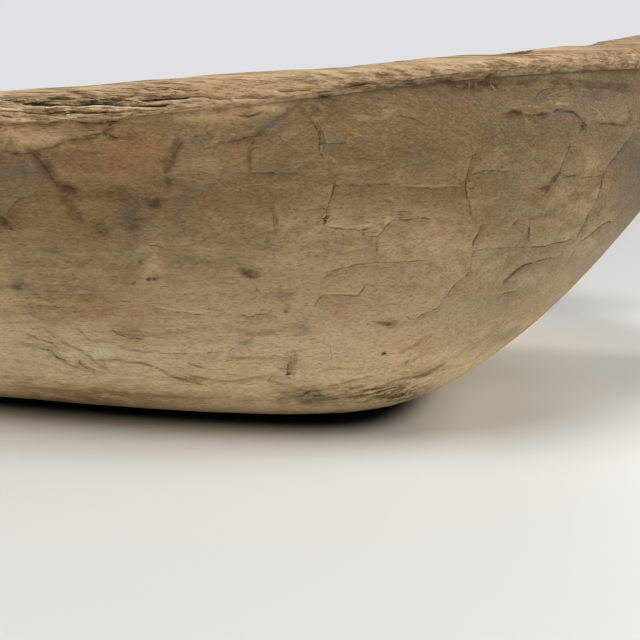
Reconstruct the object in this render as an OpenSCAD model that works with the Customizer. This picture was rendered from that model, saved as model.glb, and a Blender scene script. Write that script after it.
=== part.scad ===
// Long dough bowl, hewn in one piece from half a log.
// Millimetres. X runs along the bowl, Z up, and the flat foot stands on the XY plane.

/* [Rim] */
// Length over the rim, from end to end
rim_l = 920; // [780:10:1100]
// Width over the rim, from side to side
rim_w = 390; // [330:5:470]
// Height of the rim at mid-length
rim_mid_h = 151; // [125:1:180]
// Height of the rim at the two ends
rim_end_h = 184; // [153:1:220]
// How late the rim sweeps up towards the ends
rim_sweep = 1.6; // [1.3:0.1:2.2]
// How much lower the rim dips at the middle of its far side, as the log left it
far_dip = 5; // [0:0.5:8]
// Squareness of the rim's outline, where 2 is an oval
rim_power = 2.2; // [2:0.1:2.8]
// Width of the rim's top along the sides
rim_side_w = 20; // [16:1:26]
// Height of the rim's upright outer edge along the sides
edge_h = 11; // [9:0.5:16]
// How far that edge stands proud of the side walls
edge_lip = 1.5; // [1:0.1:3]
// Bevel that wear has left on the rim's outer corner
outer_bevel = 5; // [3:0.5:7]
// Bevel that wear has left on the rim's inner corner
inner_bevel = 3; // [2:0.5:5]

/* [End grips] */
// Width of the rim's top at the two ends, where it is carried
grip_w = 50; // [40:1:62]
// Height of the rim's outer edge at the two ends
grip_h = 26; // [20:1:32]
// Undercut for the fingers below the rim at the two ends
grip_lip = 8; // [5:0.5:11]
// How closely the grips keep to the ends
grip_power = 6; // [4:0.5:9]

/* [Foot and walls] */
// Length of the flat foot
foot_l = 585; // [480:5:680]
// Width of the flat foot
foot_w = 195; // [160:5:240]
// Squareness of the foot's outline, where 2 is an oval
foot_power = 5; // [3:0.5:6]
// Fullness of the end walls between foot and rim
end_bulge = 1.6; // [1.3:0.1:2]
// Fullness of the side walls between foot and rim
side_bulge = 2.3; // [1.8:0.1:3]
// Depth of the low hollows that the axe left along the walls
hewn_depth = 2.5; // [1:0.5:4]

/* [Hollow] */
// Thickness of the wood under the middle of the hollow
floor_t = 28; // [22:1:36]
// Squareness of the hollow's outline, where 2 is an oval
hollow_power = 2.3; // [2:0.1:2.8]
// Flatness of the hollow's floor against its sides
hollow_depth_power = 5; // [4:0.5:6]

/* [Hidden] */
wood = [0.62, 0.50, 0.36];
// Points round each ring, and rings up the outside and down the hollow
around = 96;
wall_rings = 13;
hollow_rings = 13;
// Rings lie closer together where the surface turns faster
wall_spacing = 1.7;
hollow_spacing = 1.6;
// Turns of the hewn hollows round the bowl, and how far they lean over its height, in degrees
hewn_turns = 9;
hewn_lean = 300;

step = 360 / around;

// A point of an outline with half-length a and half-width b, squarer as power grows
function outline(a, b, power, t) =
    let (reach = pow(pow(abs(cos(t)), power) + pow(abs(sin(t)), power), -1 / power))
    [a * cos(t) * reach, b * sin(t) * reach];

// 0 at mid-length and 1 at an end
function end_share(t) = abs(outline(1, 1, rim_power, t)[0]);
function grip_share(t) = pow(end_share(t), grip_power);
function far_share(t) = pow(max(0, sin(t)), 2);
function rim_z(t) =
    rim_mid_h + (rim_end_h - rim_mid_h) * pow(end_share(t), rim_sweep) - far_dip * far_share(t);
function band(t) = edge_h + (grip_h - edge_h) * grip_share(t);
function lip(t) = edge_lip + (grip_lip - edge_lip) * grip_share(t);

// Depth of the hewn hollows: none at the foot, under the rim, at the tips and at mid-length
function hewn(share, t) =
    hewn_depth * abs(sin(2 * t)) * sin(180 * share) * (1 + sin(hewn_turns * t + hewn_lean * share)) / 2;

// The outer wall, where share runs from 0 at the foot to 1 under the rim
function wall_point(share, t) =
    let (
        power = foot_power + (rim_power - foot_power) * share,
        a = foot_l / 2 + (rim_l / 2 - lip(t) - foot_l / 2) * pow(share, 1 / end_bulge),
        b = foot_w / 2 + (rim_w / 2 - lip(t) - foot_w / 2) * pow(share, 1 / side_bulge),
        p = outline(a, b, power, t),
        kept = 1 - hewn(share, t) / norm(p)
    )
    [p[0] * kept, p[1] * kept, share * (rim_z(t) - band(t))];

// The rim's outline drawn in by inset, at drop below its top
function edge_point(inset, drop, t) =
    let (p = outline(rim_l / 2 - inset, rim_w / 2 - inset, rim_power, t))
    [p[0], p[1], rim_z(t) - drop];

// The hollow's outline, drawn out by grow at the top
function brink_point(grow, drop, t) =
    let (p = outline(rim_l / 2 - grip_w + grow, rim_w / 2 - rim_side_w + grow, hollow_power, t))
    [p[0], p[1], rim_z(t) - drop];

// The hollow's surface, where share runs from 1 at its brink to 0 at the middle of its floor
function hollow_point(share, t) =
    let (p = brink_point(0, inner_bevel, t))
    [p[0] * share, p[1] * share, floor_t + (p[2] - floor_t) * pow(share, hollow_depth_power)];

// Shares from 0 to 1 in count steps, closer together near 0
function shares(count, spacing) = [for (i = [0 : count]) pow(i / count, spacing)];

module bowl() {
    angles = [for (i = [0 : around - 1]) i * step];
    rings = concat(
        [for (s = shares(wall_rings, wall_spacing)) [for (t = angles) wall_point(s, t)]],
        [[for (t = angles) edge_point(0, band(t), t)]],
        [[for (t = angles) edge_point(0, outer_bevel, t)]],
        [[for (t = angles) edge_point(outer_bevel, 0, t)]],
        [[for (t = angles) brink_point(inner_bevel, 0, t)]],
        [for (s = shares(hollow_rings, hollow_spacing)) if (s < 1) [for (t = angles) hollow_point(1 - s, t)]]
    );
    last = len(rings) - 1;
    middle = around * (last + 1);
    points = concat([for (ring = rings) each ring], [hollow_point(0, 0)]);
    foot_face = [[for (i = [0 : around - 1]) i]];
    side_faces = [
        for (r = [0 : last - 1], i = [0 : around - 1])
            let (a = r * around + i, b = r * around + (i + 1) % around)
            each [[a, a + around, b], [b, a + around, b + around]]
    ];
    floor_faces = [for (i = [0 : around - 1]) [last * around + i, middle, last * around + (i + 1) % around]];
    color(wood) polyhedron(points, concat(foot_face, side_faces, floor_faces), convexity = 4);
}

bowl();
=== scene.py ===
import math
import bpy
import numpy as np
from mathutils.bvhtree import BVHTree
from mathutils.kdtree import KDTree
from mathutils import Euler, Matrix, Vector


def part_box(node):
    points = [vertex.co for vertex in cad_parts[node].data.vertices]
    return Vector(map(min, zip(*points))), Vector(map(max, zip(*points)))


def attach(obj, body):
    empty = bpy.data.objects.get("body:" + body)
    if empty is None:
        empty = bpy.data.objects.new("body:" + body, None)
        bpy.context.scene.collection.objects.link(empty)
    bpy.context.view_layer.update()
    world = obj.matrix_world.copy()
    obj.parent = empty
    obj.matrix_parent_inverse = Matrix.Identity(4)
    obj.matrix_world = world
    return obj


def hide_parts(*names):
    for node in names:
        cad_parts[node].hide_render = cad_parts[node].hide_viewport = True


# A long dough bowl hewn from half a log. Sizes are in mm until the mesh is made.
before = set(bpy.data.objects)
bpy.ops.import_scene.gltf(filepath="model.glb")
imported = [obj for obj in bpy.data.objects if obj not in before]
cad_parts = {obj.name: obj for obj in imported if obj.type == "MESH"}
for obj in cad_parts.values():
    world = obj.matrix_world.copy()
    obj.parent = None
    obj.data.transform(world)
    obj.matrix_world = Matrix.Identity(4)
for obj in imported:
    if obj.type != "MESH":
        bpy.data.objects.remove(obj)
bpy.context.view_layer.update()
nodeLow, nodeHigh = [np.array(corner) * 1000 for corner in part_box("bowl")]
rimLength, rimWidth, endHeight = nodeHigh - nodeLow
metre = 0.001

bowlForm = dict(
    midHeight=151, sweep=1.6, farDip=5, rimPower=2.2, rimSideWidth=20, gripWidth=50,
    edgeHeights=((-180, 12), (-64, 12.5), (-56, 11), (-47, 8), (-15, 8), (20, 11), (180, 12)),   # angle, mm
    edgeLip=0.5, gripHeight=26, gripLip=8, gripPower=14,
    outerBevel=5, innerBevel=3, edgeSlope=0.6,
    footLength=586, footWidth=197, footPower=5, endBulge=1.6, sideBulge=2.3,
    floorThickness=28, hollowPower=2.3, hollowDepthPower=5,
)
meshDetail = dict(
    closeFrom=-76, closeTo=-1,       # degrees round the bowl that are seen from close by
    closeColumns=540, otherColumns=560,
    footRings=20, wallRings=190, underRings=3, edgeRings=26, bevelRings=8,
    topRings=20, innerRings=6, hollowRings=120,
)
# The photographed view: place in mm, azimuth and roll in degrees, horizon, focal length and frame in pixels
view = dict(place=(359, -514, 165), azimuth=12.74, roll=0.35, horizon=70.4, focal=924, frame=640, sensor=36)


def outline(a, b, power, t):
    c, s = np.cos(t), np.sin(t)
    reach = (np.abs(c) ** power + np.abs(s) ** power) ** (-1 / power)
    return a * c * reach, b * s * reach


def endShare(t):
    return np.abs(outline(1, 1, bowlForm["rimPower"], t)[0])


def gripShare(t):
    return endShare(t) ** bowlForm["gripPower"]


def rimHeight(t):
    f = bowlForm
    dip = f["farDip"] * np.maximum(0, np.sin(t)) ** 2
    return f["midHeight"] + (endHeight - f["midHeight"]) * endShare(t) ** f["sweep"] - dip


def bandHeight(t):
    degrees, heights = zip(*bowlForm["edgeHeights"])
    side = np.interp(np.degrees(t), degrees, heights)
    return side + (bowlForm["gripHeight"] - side) * gripShare(t)


def lipDepth(t):
    return bowlForm["edgeLip"] + (bowlForm["gripLip"] - bowlForm["edgeLip"]) * gripShare(t)


def footPoint(share, t):
    f = bowlForm
    x, y = outline(f["footLength"] / 2 * share, f["footWidth"] / 2 * share, f["footPower"], t)
    return x, y, 0 * x


def wallPoint(share, t):
    f = bowlForm
    power = f["footPower"] + (f["rimPower"] - f["footPower"]) * share
    low, high = f["footLength"] / 2, rimLength / 2 - lipDepth(t)
    a = low + (high - low) * share ** (1 / f["endBulge"])
    low, high = f["footWidth"] / 2, rimWidth / 2 - lipDepth(t)
    b = low + (high - low) * share ** (1 / f["sideBulge"])
    x, y = outline(a, b, power, t)
    return x, y, share * (rimHeight(t) - bandHeight(t))


def edgePoint(inset, drop, t):
    x, y = outline(rimLength / 2 - inset, rimWidth / 2 - inset, bowlForm["rimPower"], t)
    return x, y, rimHeight(t) - drop


def brinkPoint(grow, drop, t):
    f = bowlForm
    a, b = rimLength / 2 - f["gripWidth"] + grow, rimWidth / 2 - f["rimSideWidth"] + grow
    x, y = outline(a, b, f["hollowPower"], t)
    return x, y, rimHeight(t) - drop


def hollowPoint(share, t):
    x, y, z = brinkPoint(0, bowlForm["innerBevel"], t)
    floor = bowlForm["floorThickness"]
    return x * share, y * share, floor + (z - floor) * share ** bowlForm["hollowDepthPower"]


def evenShares(pointAt, count, t):
    # shares from 0 to 1 whose points lie equally far apart at angle t
    fine = np.linspace(0, 1, 20001)
    way = np.stack(pointAt(fine, np.full_like(fine, t)), -1)
    run = np.concatenate([[0], np.cumsum(np.linalg.norm(np.diff(way, axis=0), axis=1))])
    return np.interp(np.linspace(0, run[-1], count + 1), run, fine)


def columnAngles():
    # angles round the bowl, with most of them on the side that is seen from close by
    d = meshDetail
    fine = np.linspace(-math.pi, math.pi, 40001)
    way = np.stack(edgePoint(0, 0, fine), -1)
    run = np.linalg.norm(np.diff(way, axis=0), axis=1)
    middle = np.degrees((fine[:-1] + fine[1:]) / 2)
    ramp = lambda past: 1 / (1 + np.exp(-past / 6 * 4))         # spacing changes over about 6 degrees
    close = ramp(middle - d["closeFrom"]) * ramp(d["closeTo"] - middle)
    closeRun, otherRun = (run * close).sum(), (run * (1 - close)).sum()
    weight = run * (close * d["closeColumns"] / closeRun + (1 - close) * d["otherColumns"] / otherRun)
    total = np.concatenate([[0], np.cumsum(weight)])
    count = d["closeColumns"] + d["otherColumns"]
    return np.interp(np.arange(count) * total[-1] / count, total, fine)


def bowlRings(t):
    # rings from the middle of the foot, out and up the wall, over the rim and down the hollow
    d, f = meshDetail, bowlForm
    steps = lambda n: np.arange(n) / n
    turn = math.radians(-60)
    quarter = math.pi / 2
    rings = []
    for s in (np.arange(d["footRings"]) + 1) / (d["footRings"] + 1):
        rings.append(("foot", s, footPoint(s, t)))
    for s in evenShares(wallPoint, d["wallRings"], turn):
        rings.append(("wall", s, wallPoint(s, t)))
    low, out = wallPoint(1, t), edgePoint(0, bandHeight(t), t)
    for s in steps(d["underRings"])[1:]:
        rings.append(("edge", 0, tuple(a + (b - a) * s for a, b in zip(low, out))))
    lean = f["edgeSlope"] * (bandHeight(t) - f["outerBevel"]) * (1 - gripShare(t))
    for s in steps(d["edgeRings"]):
        drop = bandHeight(t) + (f["outerBevel"] - bandHeight(t)) * s
        rings.append(("edge", s, edgePoint(lean * s, drop, t)))
    for s in steps(d["bevelRings"]):
        roundOff = 1 - math.cos(s * quarter), 1 - math.sin(s * quarter)
        flat = s, 1 - s
        inset, drop = [f["outerBevel"] * (0.6 * a + 0.4 * b) for a, b in zip(roundOff, flat)]
        rings.append(("top", s, edgePoint(lean + inset, drop, t)))
    outer, inner = edgePoint(lean + f["outerBevel"], 0, t), brinkPoint(f["innerBevel"], 0, t)
    for s in steps(d["topRings"]):
        rings.append(("top", 1, tuple(a + (b - a) * s for a, b in zip(outer, inner))))
    for s in steps(d["innerRings"]):
        grow, drop = 1 - math.sin(s * quarter), 1 - math.cos(s * quarter)
        rings.append(("brink", s, brinkPoint(f["innerBevel"] * grow, f["innerBevel"] * drop, t)))
    for s in evenShares(hollowPoint, d["hollowRings"], turn)[:0:-1]:
        rings.append(("hollow", s, hollowPoint(s, t)))
    names = np.array([r[0] for r in rings])
    shares = np.array([r[1] for r in rings])
    points = np.array([np.stack([np.broadcast_to(c, t.shape) for c in r[2]], -1) for r in rings])
    return names, shares, points


def gridNormals(points):
    along = np.roll(points, -1, axis=1) - np.roll(points, 1, axis=1)
    across = np.gradient(points, axis=0)
    normal = np.cross(along, across)
    return normal / np.maximum(np.linalg.norm(normal, axis=-1, keepdims=True), 1e-9)


def chance(cells, seed):
    # a repeatable number between 0 and 1 for each whole-number cell
    h = np.full(cells.shape[:-1], seed * 7919 + 12345, np.uint64)
    for k, prime in enumerate((73856093, 19349663, 83492791)[:cells.shape[-1]]):
        step = cells[..., k].astype(np.int64).astype(np.uint64) * np.uint64(prime)
        h = (h ^ step) * np.uint64(2654435761)
        h ^= h >> np.uint64(15)
    return ((h >> np.uint64(7)) & np.uint64(0xFFFFF)).astype(float) / 0xFFFFF


def softNoise(points, size, seed):
    # smooth noise from -1 to 1, whose waves are about size mm long each way
    q = points / np.array(size, float)
    cell = np.floor(q).astype(np.int64)
    f = q - cell
    f = f * f * (3 - 2 * f)
    total = 0
    for k in range(8):
        corner = np.array([k & 1, k >> 1 & 1, k >> 2 & 1])
        weight = np.prod(np.where(corner, f, 1 - f), axis=-1)
        total = total + weight * chance(cell + corner, seed)
    return total * 2 - 1


def toolCuts(along, across, around, seed):
    # shallow cuts that overlap like scales. Gives the depth in each cut, 0 to 1, the way to its edge, which
    # is below 0 on one side of it, how strongly that edge shows and a number for each cut
    q = np.stack([along, across], -1)
    cell = np.floor(q).astype(np.int64)
    first, second = np.full(along.shape, 9.0), np.full(along.shape, 9.0)
    owner, other = np.zeros(along.shape), np.zeros(along.shape)
    for i in (-1, 0, 1):
        for j in (-1, 0, 1):
            near = cell + np.array([i, j])
            name = np.stack([near[..., 0] % around, near[..., 1]], -1)
            middle = near + 0.5 + 0.72 * (np.stack([chance(name, seed), chance(name, seed + 1)], -1) - 0.5)
            gap = np.linalg.norm(q - middle, axis=-1)
            number = chance(name, seed + 2)
            closer, between = gap < first, (gap >= first) & (gap < second)
            other = np.where(closer, owner, np.where(between, number, other))
            second = np.where(closer, first, np.where(between, gap, second))
            owner, first = np.where(closer, number, owner), np.where(closer, gap, first)
    depth = np.clip(1 - first ** 2 * 1.6, 0, 1) * (0.55 + 0.45 * owner)
    return depth, np.sign(owner - other) * (second - first) / 2, np.abs(owner - other) * 61.7 % 1, owner


def pixelOf(points):
    # where each point stands in the photographed view, and the three directions of that view
    v = view
    az, pitch = math.radians(v["azimuth"]), math.atan((v["frame"] / 2 - v["horizon"]) / v["focal"])
    ahead = np.array([-math.sin(az) * math.cos(pitch), math.cos(az) * math.cos(pitch), -math.sin(pitch)])
    right = np.array([math.cos(az), math.sin(az), 0])
    up = np.cross(right, ahead)
    roll = math.radians(v["roll"])
    right, up = right * math.cos(roll) + up * math.sin(roll), up * math.cos(roll) - right * math.sin(roll)
    d = points - np.array(v["place"])
    depth = d @ ahead
    x = v["frame"] / 2 + v["focal"] * (d @ right) / depth
    y = v["frame"] / 2 - v["focal"] * (d @ up) / depth
    return x, y, (ahead, right, up)


def fade(value, low, high):
    s = np.clip((value - low) / (high - low), 0, 1)
    return s * s * (3 - 2 * s)


t = columnAngles()
ringNames, ringShares, base = bowlRings(t)
normals = gridNormals(base)
print("bowl form laid out:", base.shape[0], "rings of", len(t))

# How much each point is seen from close by, where the marks are placed one by one
pixelX, pixelY, (ahead, right, up) = pixelOf(base)
outside = np.isin(ringNames, ("wall", "edge", "top"))[:, None]
facing = ((np.array(view["place"]) - base) * normals).sum(-1) > 0
zone = dict(left=(-40, -5), right=(650, 690), top=(40, 76), bottom=(440, 480))   # pixels over which it ends
inFrame = fade(pixelX, *zone["left"]) * fade(-pixelX, -zone["right"][1], -zone["right"][0])
inFrame = inFrame * fade(pixelY, *zone["top"]) * fade(-pixelY, -zone["bottom"][1], -zone["bottom"][0])
photoZone = np.where(outside & facing, inFrame, 0)

# Marks of the near side, listed one by one: how strong, how wide in mm, and the pixels that it passes.
# Thin dark lines at the edges of tool cuts:
cutMarks = dict(
    leftScale=(0.5, 0.7, [(0, 152), (14, 153), (31, 154), (46, 150), (55, 147), (65, 142), (81, 137),
                          (103, 134), (118, 131)]),
    leftDiagonal=(0.6, 1.0, [(32, 153), (38, 158), (45, 167), (50, 175), (56, 183), (60, 187)]),
    leftDiagonalFoot=(0.6, 1.0, [(60, 186), (68, 187), (77, 188)]),
    archRight=(0.45, 0.6, [(221, 144), (233, 142), (244, 140), (256, 136), (266, 128), (278, 118),
                           (290, 108)]),
    archPost=(0.45, 0.7, [(255, 137), (252, 145), (250, 155), (251, 166)]),
    archSill=(0.5, 0.6, [(250, 173), (262, 173), (276, 173), (295, 174), (312, 176)]),
    upperCrack=(0.95, 0.7, [(313, 123), (317, 130), (319, 137), (320, 148), (322, 158)]),
    upperCrackArm=(0.6, 0.7, [(322, 142), (328, 144), (335, 145), (346, 144)]),
    upperArc=(0.3, 0.5, [(276, 152), (287, 142), (301, 136)]),
    squareSideTop=(1.0, 0.9, [(335, 184), (334, 189), (331, 197)]),
    squareSide=(0.6, 0.6, [(331, 197), (328, 206), (326, 214)]),
    squareSideFoot=(1.0, 0.9, [(326, 215), (324, 225)]),
    squareTop=(0.7, 0.45, [(346, 185), (360, 185), (375, 185), (391, 184)]),
    longTop=(0.75, 0.45, [(404, 187), (418, 188), (435, 188), (459, 187)]),
    squareSill=(0.85, 0.5, [(329, 227), (338, 229), (350, 229), (361, 229), (370, 228), (378, 226)]),
    besideSquare=(0.5, 0.45, [(282, 207), (296, 211), (310, 210), (327, 208)]),
    shortUpper=(0.6, 0.45, [(396, 213), (408, 211)]),
    shortLower=(0.85, 0.5, [(395, 220), (405, 220), (418, 219), (431, 219)]),
    slantMiddle=(0.6, 0.6, [(396, 218), (390, 222), (385, 227), (381, 232), (378, 237)]),
    slantMiddleFoot=(0.8, 1.1, [(377, 238), (376, 244), (377, 251)]),
    reachLine=(0.7, 0.5, [(368, 236), (378, 236)]),
    lowerScale=(0.65, 0.6, [(319, 281), (325, 277), (331, 273), (341, 268), (354, 264), (368, 263)]),
    lowerScaleLine=(0.65, 0.4, [(368, 263), (382, 262), (394, 262), (408, 261), (427, 260)]),
    boxLine=(0.9, 0.45, [(322, 295), (334, 295), (346, 295), (358, 295)]),
    boxLineUp=(0.6, 0.7, [(358, 295), (361, 291), (364, 286)]),
    boxLineDown=(0.7, 0.5, [(322, 295), (318, 299), (315, 303)]),
    boxLineNext=(0.5, 0.4, [(366, 285), (386, 286), (408, 285), (417, 285)]),
    underKnot=(0.35, 0.7, [(300, 250), (306, 245), (315, 242), (325, 239)]),
    middleCrack=(1.0, 0.7, [(240, 314), (245, 315), (250, 316), (258, 313), (267, 313), (273, 309)]),
    leftRow=(0.6, 0.5, [(151, 304), (156, 308), (170, 311), (182, 312), (195, 313), (207, 314)]),
    lowRow=(0.7, 0.4, [(168, 354), (182, 353), (196, 353), (206, 352)]),
    lowRowEnd=(0.9, 0.6, [(206, 352), (213, 352), (223, 352)]),
    lowRowRise=(0.6, 0.5, [(223, 353), (228, 350), (235, 347), (241, 346)]),
    lowStroke=(0.8, 0.6, [(224, 354), (231, 354)]),
    lowCluster=(0.7, 0.8, [(272, 354), (283, 356), (291, 355)]),
    lowClusterPost=(0.7, 0.7, [(291, 355), (290, 361), (288, 367), (288, 373)]),
    lowClusterFoot=(0.7, 0.7, [(288, 376), (291, 379), (296, 380), (309, 381)]),
    lowHook=(0.6, 0.7, [(272, 374), (269, 377), (268, 382)]),
    rightCrack=(0.9, 0.5, [(443, 298), (447, 294), (450, 289), (455, 284), (461, 280), (470, 271)]),
    rightCrackFoot=(0.9, 0.6, [(416, 317), (423, 314), (431, 311), (438, 306), (443, 301)]),
    rightCrackBend=(0.6, 0.5, [(402, 316), (406, 315), (410, 318)]),
    nearRow=(0.35, 0.4, [(360, 305), (380, 304), (400, 303)]),
    rightNickLow=(0.85, 0.7, [(502, 284), (507, 278), (513, 272), (524, 264), (535, 262), (549, 258),
                              (556, 258)]),
    rightNickRow=(1.0, 0.8, [(501, 294), (513, 291)]),
    rightShort=(0.5, 0.5, [(552, 286), (545, 294)]),
    rightLow=(0.6, 0.5, [(516, 317), (526, 312), (535, 308), (540, 299)]),
    postRight=(0.8, 0.6, [(474, 153), (472, 160), (469, 170), (466, 180), (465, 188), (466, 198),
                          (469, 205), (472, 211)]),
    postRightArm=(0.85, 0.6, [(473, 175), (480, 172), (487, 171), (495, 171)]),
    postRightHand=(0.7, 0.7, [(501, 172), (507, 172)]),
    nickOne=(1.0, 0.8, [(512, 225), (515, 222), (518, 219)]),
    nickTwo=(0.9, 1.1, [(530, 226), (528, 239)]),
    nickThree=(0.8, 0.9, [(481, 226), (478, 233), (474, 241), (472, 247)]),
    nickThreeFoot=(0.5, 0.5, [(473, 251), (471, 260), (470, 271)]),
    longRight=(0.55, 0.4, [(474, 251), (486, 249), (508, 247), (530, 247)]),
    longRightEnd=(0.85, 0.5, [(530, 247), (541, 246), (553, 244), (565, 241), (573, 239)]),
    farPost=(0.6, 0.5, [(510, 251), (507, 258), (503, 266)]),
    forkLeft=(0.85, 0.6, [(578, 238), (581, 230), (585, 222), (588, 214), (592, 207)]),
    forkRight=(0.9, 0.7, [(579, 244), (586, 238), (593, 232), (604, 223), (611, 221), (619, 212)]),
    forkFoot=(0.5, 0.5, [(577, 247), (570, 256), (562, 269)]),
    thinPost=(0.6, 0.5, [(569, 136), (569, 146), (566, 154), (563, 161), (561, 167)]),
    nearTriangle=(0.8, 0.6, [(562, 178), (570, 175), (577, 173)]),
    besideTriangle=(0.5, 0.5, [(581, 178), (591, 177), (602, 175)]),
    greySide=(0.7, 0.7, [(630, 138), (621, 150), (611, 162), (602, 176), (600, 188), (597, 199)]),
    underBlotch=(0.5, 0.5, [(524, 118), (524, 127)]),
    topArc=(0.5, 0.6, [(536, 99), (542, 91), (553, 87)]),
    rightBlotchLine=(0.8, 1.2, [(551, 112), (560, 110), (569, 111), (575, 113), (581, 119), (584, 124),
                                (580, 131)]),
    rightFarLine=(0.6, 1.2, [(595, 124), (608, 125), (624, 125)]),
    topFaint=(0.4, 0.6, [(399, 116), (410, 118), (420, 121)]),
    leftBottomOne=(0.6, 0.9, [(34, 305), (46, 306), (57, 307), (71, 308)]),
    leftBottomTwo=(0.5, 0.5, [(91, 306), (106, 306), (118, 307)]),
    leftBottomThree=(0.7, 1.0, [(25, 333), (36, 338), (45, 341), (51, 342), (58, 342)]),
    leftBottomFour=(0.9, 1.5, [(46, 349), (51, 351), (58, 358), (66, 360)]),
    leftBottomFive=(0.9, 1.3, [(78, 360), (81, 365), (87, 369), (95, 370)]),
    leftBottomSix=(0.7, 0.8, [(15, 360), (20, 362)]),
    leftBottomSeven=(0.7, 0.8, [(31, 348), (38, 350)]),
    leftBottomEight=(0.5, 0.7, [(70, 380), (75, 378), (80, 376)]),
    leftBottomNine=(0.5, 0.7, [(92, 375), (96, 378), (99, 381)]),
    leftHook=(0.7, 0.9, [(113, 329), (117, 334), (129, 337), (143, 338)]),
    darkLeft=(0.7, 0.7, [(150, 245), (156, 245), (163, 247)]),
    shortLeft=(0.4, 0.5, [(187, 326), (195, 327)]),
    reachRight=(0.5, 0.5, [(401, 363), (407, 360), (415, 356), (424, 353)]),
    besideNine=(0.4, 0.5, [(330, 344), (331, 352), (331, 361)]),
    faintRow=(0.3, 0.4, [(384, 371), (400, 367), (420, 364), (442, 359)]),
    # the next two lines are painted shade under the rim's lip
    lipShade=(0.9, 0.9, [(76, 122), (92, 122), (104, 122.5), (118, 122)]),
    lipShadeLeft=(0.5, 0.6, [(0, 124), (20, 124), (44, 124), (58, 122)]),
    lipHook=(0.8, 0.7, [(96, 123), (104, 124), (112, 128)]),
    scoopScar=(0.4, 0.5, [(4, 150), (7, 142), (10, 134)]),
    archTop=(0.5, 0.6, [(176, 150), (182, 143), (192, 138), (204, 135)]),
    archLow=(0.45, 0.5, [(172, 176), (186, 174), (204, 173), (222, 175)]),
    besideArch=(0.5, 0.5, [(318, 124), (322, 134), (326, 146)]),
    underArch=(0.45, 0.5, [(286, 206), (296, 210), (306, 211), (318, 209)]),
    lowPost=(0.4, 0.5, [(274, 204), (273, 214), (274, 226)]),
    leftArcHigh=(0.5, 0.6, [(8, 214), (12, 206), (20, 199), (32, 195)]),
    blotchHead=(0.7, 1.6, [(508, 114), (515, 112), (524, 112)]),
    blotchMiddle=(0.6, 1.2, [(524, 113), (532, 116), (540, 116), (551, 112)]),
)
# Drying cracks along the rim:
rimCracks = dict(
    topLeft=(0.7, 0.5, [(0, 97), (8, 97), (21, 98), (32, 100)]),
    mainLeft=(0.8, 0.7, [(0, 100), (9, 101), (18, 103), (28, 104)]),
    mainThick=(1.0, 1.3, [(18, 103), (28, 104), (39, 104), (52, 106), (57, 105)]),
    mainRight=(1.0, 0.7, [(52, 106), (63, 105), (77, 106), (91, 104), (110, 104), (114, 105),
                          (128, 106)]),
    mainEnd=(1.0, 0.9, [(128, 106), (145, 106), (156, 106), (167, 105)]),
    overMain=(0.7, 0.5, [(35, 102), (56, 102), (77, 103), (100, 102), (120, 102)]),
    farTop=(1.0, 0.8, [(139, 101), (153, 100), (163, 99), (177, 99), (191, 97)]),
    farTopEnd=(0.6, 0.5, [(191, 97), (203, 97), (212, 99)]),
    shortTop=(0.8, 0.6, [(177, 90), (187, 91), (198, 91)]),
    shortTopLeft=(0.7, 0.5, [(144, 89), (155, 90), (167, 90)]),
    lowerLeft=(0.5, 0.4, [(0, 107), (9, 108), (18, 109)]),
    lowerMiddle=(0.9, 0.7, [(21, 112), (32, 113), (42, 114), (56, 112), (67, 112)]),
    lowerRight=(1.0, 1.3, [(67, 112), (77, 112), (88, 113), (98, 114), (107, 112)]),
    lowerFar=(1.0, 1.1, [(107, 114), (117, 116), (130, 115)]),
    lowerTail=(0.7, 0.5, [(130, 115), (142, 114), (156, 112), (170, 111), (181, 110)]),
    lipLeft=(0.8, 0.5, [(0, 116), (7, 117), (14, 119), (19, 119)]),
    lipMiddle=(0.9, 0.6, [(21, 117), (28, 118), (35, 118), (42, 119), (50, 118)]),
    lipOver=(0.8, 0.5, [(45, 115), (60, 116), (64, 115)]),
    paleLine=(0.6, 0.4, [(206, 98), (214, 99), (222, 100)]),
    paleLineTwo=(0.5, 0.4, [(234, 99), (246, 98), (262, 99), (275, 97)]),
    paleLineThree=(0.7, 0.5, [(277, 91), (287, 92), (298, 91), (312, 90)]),
    paleBrink=(0.6, 0.9, [(238, 117), (248, 118), (256, 116), (262, 113)]),
    brownBrink=(0.9, 1.6, [(319, 98), (324, 96), (331, 95), (336, 94)]),
    brownBrinkEnd=(0.8, 0.9, [(340, 91), (348, 88), (355, 86), (366, 84)]),
)
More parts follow.
